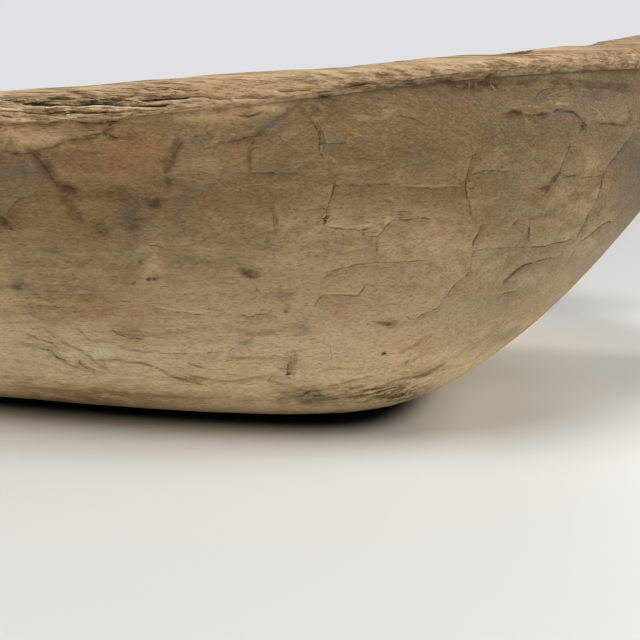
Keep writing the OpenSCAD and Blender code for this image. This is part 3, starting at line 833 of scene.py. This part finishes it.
# Relief in mm, always inwards, so that the bowl stays inside the box of its CAD model
w = waveForm
smoothRim = photoZone * fade(pixelX, 150, 220)          # the band is smooth to the right of its cracks
rimBand = np.where(isRim, 1, 0)[:, None] * (1 - gripShare(t) * 0.5)[None] * (1 - 0.8 * smoothRim)
relief = 0
for name, seed in (("long", 81), ("short", 82), ("fibre", 83)):
    relief = relief + w[name + "Depth"] * (0.5 + 0.5 * softNoise(base, w[name + "Size"], seed))
relief = relief + depthHere * cutDepth
softEdge = isRim[:, None] * (1 - 0.8 * photoZone) + isHollow[:, None] * (1 - fade(dropHere, 4, 30))
relief = relief + w["rimWave"] * softEdge * (0.5 + 0.5 * softNoise(base, w["rimWaveSize"], 86))
edgeRing = np.where(ringNames == "top", np.abs(ringShares - 1) < 1, ringNames == "brink")
wornEdge = edgeRing[:, None] * (1 - photoZone) * fade(softNoise(base, w["chipSize"], 87), 0.1, 0.8)
relief = relief + w["chipDepth"] * wornEdge
relief = relief + rimBand * w["rimFibre"] * (0.5 + 0.5 * softNoise(base, w["rimFibreSize"], 84))
relief = relief + flatTop * w["topDepth"] * fade(softNoise(base, w["topSize"], 85), -0.5, 0.9)
relief = relief + crackForm["depth"] * crackInk * np.exp(-(crackWay / (0.5 + crackWidth * 0.5)) ** 2)
# pale lines on the rim stand out, by lipRise at most and never past the CAD surface
raised = isRim[:, None] * paleInk * np.exp(-(paleWay / (0.4 + paleWidth * 0.4)) ** 2)
relief = np.maximum(relief - w["lipRise"] * raised, np.minimum(relief, 0.15))
relief = relief + w["markDepth"] * cutInk * np.exp(-(cutWay / (0.6 + cutWidth * 0.3)) ** 2)
relief = relief + w["markStep"] * cutInk * (cutWay < 0) * np.exp(-np.abs(cutWay) / 6)
relief = relief + w["facetDepth"] * facetInk * np.exp(-(facetWay / 0.9) ** 2)
relief = relief * np.where(isFoot, 0.6, 1)[:, None]
middleWall = fade(ringShares, -0.01, 0.04) * (1 - fade(ringShares, 0.85, 0.97)) * isWall
relief = relief - w["wallOut"] * middleWall[:, None]    # the wall stays about its model's surface
side = np.sign((normals[isWall] * base[isWall]).sum(-1).mean())
shape = base - normals * side * relief[..., None]
shape[..., 2] = np.maximum(shape[..., 2], 0)
print("relief worked out: up to", round(float(relief.max()), 2), "mm")


def meshFrom(rings, name):
    # one closed mesh: the rings, and a point in the middle of the foot and of the hollow
    r, c = rings.shape[:2]
    first, last = rings[0].mean(axis=0), rings[-1].mean(axis=0)
    places = np.concatenate([rings.reshape(-1, 3), [first, last]]) * metre
    i, j = np.meshgrid(np.arange(r - 1), np.arange(c), indexing="ij")
    k = (j + 1) % c
    quads = np.stack([i * c + j, i * c + k, (i + 1) * c + k, (i + 1) * c + j], -1).reshape(-1, 4)
    j = np.arange(c)
    k = (j + 1) % c
    low = np.stack([np.full(c, r * c), k, j], -1)
    high = np.stack([np.full(c, r * c + 1), (r - 1) * c + j, (r - 1) * c + k], -1)
    corners = np.concatenate([quads.ravel(), low.ravel(), high.ravel()]).astype(np.int32)
    sizes = np.concatenate([np.full(len(quads), 4), np.full(2 * c, 3)]).astype(np.int32)
    mesh = bpy.data.meshes.new(name)
    mesh.vertices.add(len(places))
    mesh.vertices.foreach_set("co", places.astype(np.float32).ravel())
    mesh.loops.add(len(corners))
    mesh.loops.foreach_set("vertex_index", corners)
    mesh.polygons.add(len(sizes))
    mesh.polygons.foreach_set("loop_start", np.concatenate([[0], np.cumsum(sizes)[:-1]]).astype(np.int32))
    mesh.polygons.foreach_set("loop_total", sizes)
    mesh.polygons.foreach_set("use_smooth", np.ones(len(sizes), bool))
    mesh.update(calc_edges=True)
    mesh.validate()
    return mesh


def keep(mesh, name, values):
    # stores a value for each point of the rings; the two middle points get the mean of their ring
    several = values.ndim == 3
    flat = values.reshape(-1, 3) if several else values.reshape(-1)
    flat = np.concatenate([flat, [values[0].mean(axis=0), values[-1].mean(axis=0)]]).astype(np.float32)
    layer = mesh.attributes.new(name, "FLOAT_VECTOR" if several else "FLOAT", "POINT")
    layer.data.foreach_set("vector" if several else "value", flat.ravel())


# Where the faces lie on a square picture, in its pixels: most is for the near side
picture = dict(
    size=1024, nearScale=1.95, otherScale=0.78, hollowScale=0.54, footScale=0.58,
    near=(3, 3), front=(3, 508), back=(3, 716), left=(500, 784), hollow=(762, 643), foot=(963, 215),
)


def layOut(mesh):
    r, c = base.shape[:2]
    i, j = np.meshgrid(np.arange(r - 1), np.arange(c), indexing="ij")
    row, column = np.stack([i, i, i + 1, i + 1], -1), np.stack([j, j + 1, j + 1, j], -1)
    firstWall, firstHollow = int(np.argmax(isWall)), int(np.argmax(isHollow))
    arc = np.append(around, perimeter)
    rise = (climb - climb[firstWall]).mean(axis=1)
    nearFirst, nearLast = np.searchsorted(t, np.radians([meshDetail["closeFrom"], meshDetail["closeTo"]]))
    middle = int(np.searchsorted(around, (around[nearLast] + perimeter) / 2))
    uv = np.zeros((r - 1, c, 4, 2))
    for name, start, end in (("near", nearFirst, nearLast), ("front", nearLast, middle), ("back", middle, c),
                             ("left", 0, nearFirst)):
        scale = picture["nearScale" if name == "near" else "otherScale"]
        at = np.stack([arc[column] - arc[start], rise[row] + 0 * column], -1) * scale + picture[name]
        uv = np.where(((j >= start) & (j < end))[..., None, None], at, uv)
    flat = base[:, np.append(np.arange(c), 0), :2]
    length = np.linalg.norm(flat, axis=-1, keepdims=True)
    inwards = (climb[-1] - climb)[:, np.append(np.arange(c), 0), None] + length[-1]
    disc = flat / length * inwards * picture["hollowScale"] + np.array(picture["hollow"])
    sole = flat[..., ::-1] * picture["footScale"] + np.array(picture["foot"])
    uv[:firstWall] = sole[row, column][:firstWall]
    uv[firstHollow - 1:] = disc[row, column][firstHollow - 1:]
    j = np.arange(c)
    low = np.stack([np.tile(np.array(picture["foot"], float), (c, 1)), sole[0, j + 1], sole[0, j]], 1)
    high = np.stack([np.tile(np.array(picture["hollow"], float), (c, 1)), disc[-1, j], disc[-1, j + 1]], 1)
    spots = np.concatenate([uv.reshape(-1, 2), low.reshape(-1, 2), high.reshape(-1, 2)]) / picture["size"]
    layer = mesh.uv_layers.new(name="OFBake")
    layer.data.foreach_set("uv", spots.astype(np.float32).ravel())
    print("picture map laid out: from", spots.min(axis=0).round(3), "to", spots.max(axis=0).round(3))


bowlMesh = meshFrom(shape, "dough_bowl")
layOut(bowlMesh)
blank = np.zeros(base.shape[:2])
region = np.stack([np.where(part, 1, 0)[:, None] + blank for part in (isRim, isHollow, isFoot)], -1)
paintedEdgeShading = 0                                          # painted shade on one side of a cut's edge and a painted highlight on the other
for way, ink in ((cutWay, cutInk), (facetWay, facetInk)):
    paintedEdgeShading = paintedEdgeShading + np.sign(way) * ink * np.exp(-np.abs(way) / 5)
roughRim = np.maximum(0.35, photoZone * fade(-pixelX, -240, -150)) * np.where(isRim, 1, 0)[:, None]
fields = dict(
    cutLine=cutLine, crackLine=crackLine, stainLine=stainLine, paleLine=paleLine, blotLine=blotLine,
    facetLine=facetLine, facetOwner=facetOwner, cutEdgeShadeAndHighlight=paintedEdgeShading, rough=roughRim,
    tint=tint, stainShadeAndLight=stainShadeAndLight, region=region, photoZone=photoZone + blank,
)
for name, values in fields.items():
    keep(bowlMesh, name, values)
bowl = bpy.data.objects.new("dough_bowl", bowlMesh)
bpy.context.collection.objects.link(bowl)
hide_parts("bowl")
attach(bowl, "root")
print("bowl mesh made:", len(bowlMesh.vertices), "points")

# Old pale wood: grain along x, growth rings round a pith above the bowl, stains, tool lines and cracks, and
# some tones that paint light and shade: a paler one for the lower wall lit by the table, a darker one for the
# shaded upper wall, and bright ones for painted highlights and painted light
woodLook = dict(
    pale=(198, 167, 122), middle=(172, 141, 99), deep=(142, 112, 74), warm=(182, 134, 84),
    grey=(124, 111, 92), bleached=(208, 184, 140), tan=(220, 182, 134),
    stain=(92, 66, 36), line=(62, 43, 24), crack=(34, 23, 13),
    ridge=(216, 192, 152), paleFleckAndHighlight=(246, 216, 172), light=(246, 225, 186), flow=(128, 95, 50),
    rimPale=(230, 196, 152), rimDeep=(150, 115, 76), tableLitPale=(247, 219, 171), upperWallShade=(124, 96, 60),
    hollowWarm=(154, 118, 78), hollowDeep=(126, 96, 62), footGrey=(150, 130, 98),
    pithHeight=0.19, ringStep=0.0034, roughness=(0.66, 0.86), specular=0.3, bump=0.00035,
)
# How strongly a tone is laid: growth rings, single cuts, foot, placed patches, and the painted shade and
# painted highlight on the two sides of a cut's edge
toneShare = dict(ring=0.16, cut=0.14, foot=0.4, tint=0.76, stainShadeAndLight=0.6, cutEdgeShadow=-0.22, cutEdgeHighlight=0.3,
                 splinter=0.7)
# Tones that change with the height: from and to in metres above the table, and how strong at each. The lower
# wall is made paler as painted light from the table, and the upper wall darker as painted shade
toneHeight = dict(tableLitPale=(0.05, 0.135, 0.95, 0.0), upperWallShade=(0.1, 0.145, 0.0, 0.6),
                  hollowDeep=(0.03, 0.075, 0.4, 0.0), flow=(0.045, 0.085, 0.0, 1.0))
# Noise patterns: waves a metre along x, y and z, then detail, roughness, twist and offset
woodPatterns = dict(
    fibre=((16, 480, 480), 3, 0.65, 0.3), fine=((520, 1500, 1500), 2, 0.7),
    longLine=((9, 850, 850), 2, 0.6, 0.2, (1, 9, 1)), thread=((45, 1150, 1150), 2, 0.6, 0.2, (9, 9, 1)),
    patchy=((85, 150, 150), 3, 0.6, 0.8, (2, 8, 8)), broken=((190, 260, 260), 2, 0.6, 0, (4, 4, 4)),
    mottle=((28, 60, 60), 4, 0.62, 0.6, (3, 1, 2)), cloud=((7, 14, 14), 3, 0.6, 0.4, (5, 2, 7)),
    speckle=((420, 900, 900), 1, 0.5, 0, (1, 6, 2)), blotch=((45, 110, 110), 3, 0.65, 0.8, (8, 4, 1)),
    pore=((130, 1300, 1300), 1, 0.5, 0, (2, 9, 4)), dull=((22, 50, 50), 3, 0.6, 0.5, (11, 3, 9)),
    torn=((34, 95, 95), 5, 0.62, 1.0, (7, 2, 6)), flecks=((60, 520, 520), 4, 0.75, 0.6, (2, 6, 9)),
    inside=((9, 26, 26), 4, 0.6, 0.7, (5, 5, 2)), oily=((11, 19, 19), 4, 0.65, 1.2, (4, 1, 4)),
    rimGrain=((10, 500, 500), 3, 0.65, 0.4, (7, 7, 7)), tornPatch=((90, 300, 300), 4, 0.7, 0.8, (3, 3, 8)),
    smear=((75, 380, 380), 4, 0.7, 0.6, (6, 6, 2)), splinter=((5, 1100, 1500), 3, 0.7, 0.1, (6, 1, 3)),
)
# Tones laid over each other, the first lowest: pattern, where it starts and is full, how strong, tone
woodLayers = dict(
    ground=[("fibre", 0.3, 0.7, 0.55, "middle")],
    clouds=[("blotch", 0.56, 0.74, 0.4, "warm"), ("dull", 0.58, 0.74, 0.45, "grey")],
    worn=[("torn", 0.5, 0.66, 0.36, "deep"), ("torn", 0.48, 0.34, 0.34, "bleached"),
          ("flecks", 0.54, 0.66, 0.18, "stain"), ("flecks", 0.45, 0.34, 0.15, "ridge"),
          ("patchy", 0.5, 0.66, 0.16, "deep"), ("patchy", 0.46, 0.32, 0.14, "bleached")],
    grain=[("fine", 0.52, 0.3, 0.32, "line"), ("fine", 0.5, 0.7, 0.15, "ridge"),
           ("thread", 0.46, 0.3, 0.12, "stain"), ("longLine", 0.42, 0.3, 0.2, "stain"),
           ("fibre", 0.6, 0.8, 0.16, "stain")],
    pores=[("pore", 0.66, 0.74, 0.45, "stain"), ("speckle", 0.3, 0.7, 0.12, "stain")],
)
# Stored lines, the first lowest: how soft, how firm in the middle, the least ink where they break up,
# how strong, what tone, and how much they cut into the bump
lineLook = dict(
    stainLine=(1.5, 0.5, 0.55, 0.85, "flow", 0), blotLine=(0.5, 0.7, 0.8, 0.75, "flow", 0),
    # the pale lines are pale flecks and hairs, and painted highlights along ridges
    paleLine=(1.0, 0.3, 0.55, 0.9, "paleFleckAndHighlight", 0), facetLine=(1.2, 0.2, 0.35, 0.7, "line", 0.6),
    cutLine=(1.2, 0.2, 0.35, 0.86, "line", 0.7), crackLine=(0.7, 0.4, 0.7, 0.97, "crack", 1.6),
)
bumpShare = dict(fine=0.35, fibre=0.5, mottle=0.4, blotch=0.35, speckle=0.1)


def tone(name):
    return [*[((c / 255 + 0.055) / 1.055) ** 2.4 if c > 10.3 else c / 255 / 12.92 for c in woodLook[name]], 1]


wood = bpy.data.materials.new("hewn wood")
wood.use_nodes = True
tree = wood.node_tree
tree.nodes.clear()


def put(kind, inputs=None, **settings):
    node = tree.nodes.new("ShaderNode" + kind)
    for key, value in settings.items():
        setattr(node, key, value)
    for key, value in (inputs or {}).items():
        if isinstance(value, bpy.types.NodeSocket):
            tree.links.new(value, node.inputs[key])
        else:
            node.inputs[key].default_value = value
    return node


def calc(operation, *values, clamp=False):
    return put("Math", dict(enumerate(values)), operation=operation, use_clamp=clamp).outputs[0]


def between(value, low, high, toLow=0.0, toHigh=1.0):
    inputs = {"Value": value, "From Min": low, "From Max": high, "To Min": toLow, "To Max": toHigh}
    return put("MapRange", inputs, interpolation_type="SMOOTHSTEP").outputs[0]


def parts(name):
    node = put("Attribute", attribute_name=name)
    return put("SeparateXYZ", {0: node.outputs["Vector"]}).outputs


def single(name):
    return put("Attribute", attribute_name=name).outputs["Fac"]


def blend(factor, a, b):
    return put("Mix", {0: factor, 6: a, 7: b}, data_type="RGBA").outputs[2]


place = put("TexCoord").outputs["Object"]


def grain(scale, detail=3, rough=0.55, twist=0.0, offset=(0, 0, 0)):
    moved = put("Mapping", {"Vector": place, "Scale": scale, "Location": offset}).outputs[0]
    inputs = {"Vector": moved, "Scale": 1.0, "Detail": detail, "Roughness": rough, "Distortion": twist}
    return put("TexNoise", inputs).outputs["Fac"]


def scratches(turn, seed):
    # the way to long thin scratches across the hollow, in cells of a stretched pattern
    inputs = {"Vector": place, "Rotation": (0, 0, turn), "Location": (seed, 0, 0), "Scale": (5, 60, 5)}
    inputs = {"Vector": put("Mapping", inputs).outputs[0], "Scale": 1.0, "Randomness": 1.0}
    return put("TexVoronoi", inputs, feature="DISTANCE_TO_EDGE").outputs["Distance"]


noise = {name: grain(*spec) for name, spec in woodPatterns.items()}
broken = between(noise["broken"], 0.36, 0.56)


def drawn(line, soft, firm, least):
    # how much of a stored line shows here: 1 along its middle
    shows = calc("MULTIPLY", between(calc("ABSOLUTE", line[0]), firm, soft + firm, 1, 0), line[1])
    return calc("MULTIPLY", shows, calc("MULTIPLY_ADD", broken, 1 - least, least))


def cover(under, layers):
    for name, low, high, strength, over in layers:
        under = blend(between(noise[name], low, high, 0.0, strength), under, tone(over))
    return under


def spread(under, strength, much, over):
    # one tone over another where strength times much is above 0
    return blend(calc("MULTIPLY", strength, much, clamp=True), under, tone(over))


x, y, z = put("SeparateXYZ", {0: place}).outputs
lifted = calc("SUBTRACT", z, woodLook["pithHeight"])
reach = calc("SQRT", calc("ADD", calc("MULTIPLY", y, y), calc("MULTIPLY", lifted, lifted)))
bent = calc("MULTIPLY_ADD", noise["cloud"], 0.03, reach)
bent = calc("MULTIPLY_ADD", noise["mottle"], 0.004, bent)
ring = between(calc("SINE", calc("MULTIPLY", bent, 2 * math.pi / woodLook["ringStep"])), -1.0, 1.0)

rimPart, hollowPart, footPart = parts("region")
tints = parts("tint")

# the whole bowl
body = calc("ADD", calc("MULTIPLY", noise["mottle"], 0.55), calc("MULTIPLY", noise["cloud"], 0.45))
colour = blend(between(body, 0.36, 0.62), tone("deep"), tone("pale"))
colour = cover(colour, woodLayers["ground"])
colour = spread(colour, ring, toneShare["ring"], "deep")
colour = cover(colour, woodLayers["clouds"])
colour = spread(colour, single("facetOwner"), toneShare["cut"], "bleached")
level = calc("MULTIPLY_ADD", noise["mottle"], 0.05, z)
# painted light on the lower wall, where the table lights it, and painted shade on the upper wall
for name in ("tableLitPale", "upperWallShade"):
    colour = blend(between(level, *toneHeight[name]), colour, tone(name))
colour = cover(colour, woodLayers["worn"])

# the hollow and the foot
inside = between(noise["inside"], 0.36, 0.64, 0.25, 0.85)
colour = spread(colour, hollowPart, inside, "hollowWarm")
colour = spread(colour, hollowPart, between(z, *toneHeight["hollowDeep"]), "hollowDeep")
scratch = calc("MINIMUM", scratches(0.5, 1), calc("MINIMUM", scratches(-0.35, 2), scratches(1.3, 3)))
scratch = calc("MULTIPLY", between(scratch, 0.012, 0.03, 1, 0), calc("ADD", hollowPart, footPart))
colour = spread(colour, scratch, between(noise["cloud"], 0.42, 0.6, 0.0, 0.45), "stain")
colour = spread(colour, between(noise["oily"], 0.53, 0.7, 0.0, 0.36), hollowPart, "stain")
colour = spread(colour, footPart, toneShare["foot"], "footGrey")

# the rim, and the patches and cut edges that were placed one by one, with their painted light and painted
# shade
rimTone = blend(between(noise["rimGrain"], 0.36, 0.62), tone("rimDeep"), tone("rimPale"))
rimShare = calc("ADD", single("photoZone"), calc("MULTIPLY", noise["mottle"], 1.3))
colour = blend(calc("MULTIPLY", rimPart, between(rimShare, 0.5, 0.9, 0.35, 0.85)), colour, rimTone)
tornPatch = between(noise["tornPatch"], 0.4, 0.6, 0.25, 1.55)
ragged = calc("ADD", calc("MULTIPLY", noise["blotch"], 0.5), calc("MULTIPLY", noise["patchy"], 0.5))
ragged = between(ragged, 0.38, 0.58, 0.3, 1.3)
for k, name in enumerate(("warm", "grey", "tan")):
    colour = spread(colour, calc("MULTIPLY", tints[k], toneShare["tint"]), ragged, name)
stainShadeAndLight = single("stainShadeAndLight")
# dark patches give stains and painted shade, then pale ones give paler wood and painted light
colour = spread(colour, calc("MULTIPLY", stainShadeAndLight, toneShare["stainShadeAndLight"]), tornPatch, "stain")
colour = spread(colour, calc("MULTIPLY", stainShadeAndLight, -toneShare["stainShadeAndLight"]), ragged, "light")
# painted shade below a cut's edge and a painted highlight above it, on the near side
edgeShadeAndHighlight = single("cutEdgeShadeAndHighlight")
colour = spread(colour, edgeShadeAndHighlight, toneShare["cutEdgeShadow"], "stain")
colour = spread(colour, edgeShadeAndHighlight, toneShare["cutEdgeHighlight"], "bleached")
colour = cover(colour, woodLayers["grain"])

# splinters on the rim, pores, and the stored lines over everything
roughPart = calc("MULTIPLY", rimPart, single("rough"))
splintered = calc("MULTIPLY", between(noise["splinter"], 0.44, 0.36, 0, 1), roughPart)
colour = spread(colour, between(noise["splinter"], 0.5, 0.6, 0, 0.85), roughPart, "ridge")
colour = spread(colour, splintered, toneShare["splinter"], "line")
colour = cover(colour, woodLayers["pores"])

height = calc("MULTIPLY", ring, 0.1)
for name, much in bumpShare.items():
    height = calc("MULTIPLY_ADD", noise[name], much, height)
height = calc("MULTIPLY_ADD", splintered, -1.2, height)
flow = blend(between(z, *toneHeight["flow"]), tone("flow"), tone("stain"))
for name, (soft, firm, least, strength, over, cutIn) in lineLook.items():
    shows = drawn(parts(name), soft, firm, least)
    if name == "stainLine":
        shows = calc("MULTIPLY", shows, between(noise["smear"], 0.38, 0.56, 0.45, 1.0))
    colour = blend(calc("MULTIPLY", shows, strength), colour, flow if over == "flow" else tone(over))
    if cutIn:
        height = calc("MULTIPLY_ADD", shows, -cutIn, height)
bump = put("Bump", {"Strength": 1.0, "Distance": woodLook["bump"], "Height": height}).outputs[0]
rough = between(body, 0.3, 0.7, woodLook["roughness"][1], woodLook["roughness"][0])
rough = calc("MULTIPLY_ADD", hollowPart, -0.14, rough)
surface = put("BsdfPrincipled", {"Base Color": colour, "Roughness": rough, "Normal": bump,
                                 "Specular IOR Level": woodLook["specular"]})
tree.links.new(surface.outputs[0], put("OutputMaterial").inputs["Surface"])
bowlMesh.materials.append(wood)
print("wood made:", len(tree.nodes), "nodes")

# A pale table, the room's soft light and the camera
room = dict(
    floorTone=(0.80, 0.80, 0.77), floorRough=0.5, floorSize=6.0,
    worldLight=(0.90, 0.94, 1.0), worldPower=0.17, worldSeen=(0.74, 0.75, 0.77),
)
# The table's tone, which paints the bowl's contact shadow round the foot, painted light just beyond it, a
# painted pool of light behind the right end and a darker far floor: metres from the foot, or along x or y,
# over which it changes, and its share after that
tableShade = dict(
    contact=(0.010, 0.029), contactShadowTone=0.01, contactAlong=(0.15, 0.3), contactMore=(0.0045, -0.003),
    nearShine=1.16, openFrom=(0.034, 0.075), dimFrom=(-0.05, 0.0), dimShade=0.88,
    backFrom=(0.03, 0.068), backShine=1.22, farFrom=(0.122, 0.19), farShade=0.82,
    stripFrom=(0.08, 0.25), stripTo=(0.47, 0.66),      # the painted pool of light lies only behind the right end
)
lamps = dict(
    front=dict(place=(0.1, -0.7, 2.1), size=1.2, power=32),
    side=dict(place=(2.0, 0.1, 1.2), size=1.6, power=17),
    back=dict(place=(0.9, 1.3, 1.1), size=1.2, power=8),
)
lampsAim = (0.2, 0, 0.05)


half = room["floorSize"] / 2
floorMesh = bpy.data.meshes.new("table")
corners = [(-half, -half, 0), (half, -half, 0), (half, half, 0), (-half, half, 0)]
floorMesh.from_pydata(corners, [], [(0, 1, 2, 3)])
painted = bpy.data.materials.new("painted table")
painted.use_nodes = True
tree = painted.node_tree
paint = tree.nodes["Principled BSDF"]
paint.inputs["Roughness"].default_value = room["floorRough"]
floorMesh.materials.append(painted)

# the way from the foot's outline, near enough: that of a line as long as the foot's straight part
acrossX, acrossY, _ = put("SeparateXYZ", {0: put("TexCoord").outputs["Object"]}).outputs
footA, footB = bowlForm["footLength"] / 2 * metre, bowlForm["footWidth"] / 2 * metre
power = bowlForm["footPower"]
beyond = calc("MAXIMUM", calc("SUBTRACT", calc("ABSOLUTE", acrossX), footA - footB), 0.0)
beyond = calc("ADD", calc("POWER", beyond, power), calc("POWER", calc("ABSOLUTE", acrossY), power))
beyond = calc("SUBTRACT", calc("POWER", beyond, 1 / power), footB)
g = tableShade
nearer = calc("SUBTRACT", beyond, between(acrossX, *g["contactAlong"], *g["contactMore"]))
# painted contact shadow at the foot, then a little painted light just beyond it
lit = between(nearer, *g["contact"], g["contactShadowTone"], g["nearShine"])
lit = calc("MULTIPLY", lit, between(beyond, *g["openFrom"], 1.0, 1 / g["nearShine"]))
strip = between(acrossY, *g["dimFrom"], 1.0, g["dimShade"])
strip = calc("MULTIPLY", strip, between(acrossY, *g["backFrom"], 1.0, g["backShine"] / g["dimShade"]))
strip = calc("MULTIPLY", strip, between(acrossY, *g["farFrom"], 1.0, g["farShade"] / g["backShine"]))
besides = between(acrossY, *g["dimFrom"], 1.0, g["farShade"])
here = calc("MULTIPLY", between(acrossX, *g["stripFrom"]), between(acrossX, *g["stripTo"], 1.0, 0.0))
strip = calc("MULTIPLY_ADD", calc("SUBTRACT", strip, besides), here, besides)
lit = calc("MULTIPLY", lit, strip)
floorTone = (*room["floorTone"], 1)
dim = put("Mix", {0: lit, 6: (0, 0, 0, 1), 7: floorTone}, data_type="RGBA", clamp_factor=False).outputs[2]
tree.links.new(dim, paint.inputs["Base Color"])
floor = bpy.data.objects.new("table", floorMesh)
bpy.context.collection.objects.link(floor)

world = bpy.data.worlds.new("room")
bpy.context.scene.world = world
world.use_nodes = True
tree = world.node_tree
tree.nodes.clear()
path = put("LightPath")
light = put("Background", {"Color": (*room["worldLight"], 1), "Strength": room["worldPower"]})
seenSky = put("Background", {"Color": (*room["worldSeen"], 1), "Strength": 1.0})
choice = put("MixShader", {0: path.outputs["Is Camera Ray"], 1: light.outputs[0], 2: seenSky.outputs[0]})
tree.links.new(choice.outputs[0], put("OutputWorld").inputs["Surface"])

for name, spec in lamps.items():
    light = bpy.data.lights.new(name + "_light", "AREA")
    light.shape, light.size, light.energy = "DISK", spec["size"], spec["power"]
    lamp = bpy.data.objects.new(name + "_light", light)
    lamp.location = spec["place"]
    lamp.rotation_euler = (Vector(lampsAim) - lamp.location).to_track_quat("-Z", "Y").to_euler()
    bpy.context.collection.objects.link(lamp)

cameraData = bpy.data.cameras.new("camera")
cameraData.sensor_width = view["sensor"]
cameraData.lens = view["focal"] / view["frame"] * view["sensor"]
cameraData.clip_start = 0.01
camera = bpy.data.objects.new("camera", cameraData)
camera.location = Vector(view["place"]) * metre
pitch = math.atan((view["frame"] / 2 - view["horizon"]) / view["focal"])
aim = Euler((math.pi / 2 - pitch, 0, math.radians(view["azimuth"]))).to_matrix()
camera.rotation_euler = (aim @ Matrix.Rotation(math.radians(view["roll"]), 3, "Z")).to_euler()
bpy.context.collection.objects.link(camera)
bpy.context.scene.camera = camera
bpy.context.scene.view_settings.view_transform = "Standard"
print("table, light and camera placed")
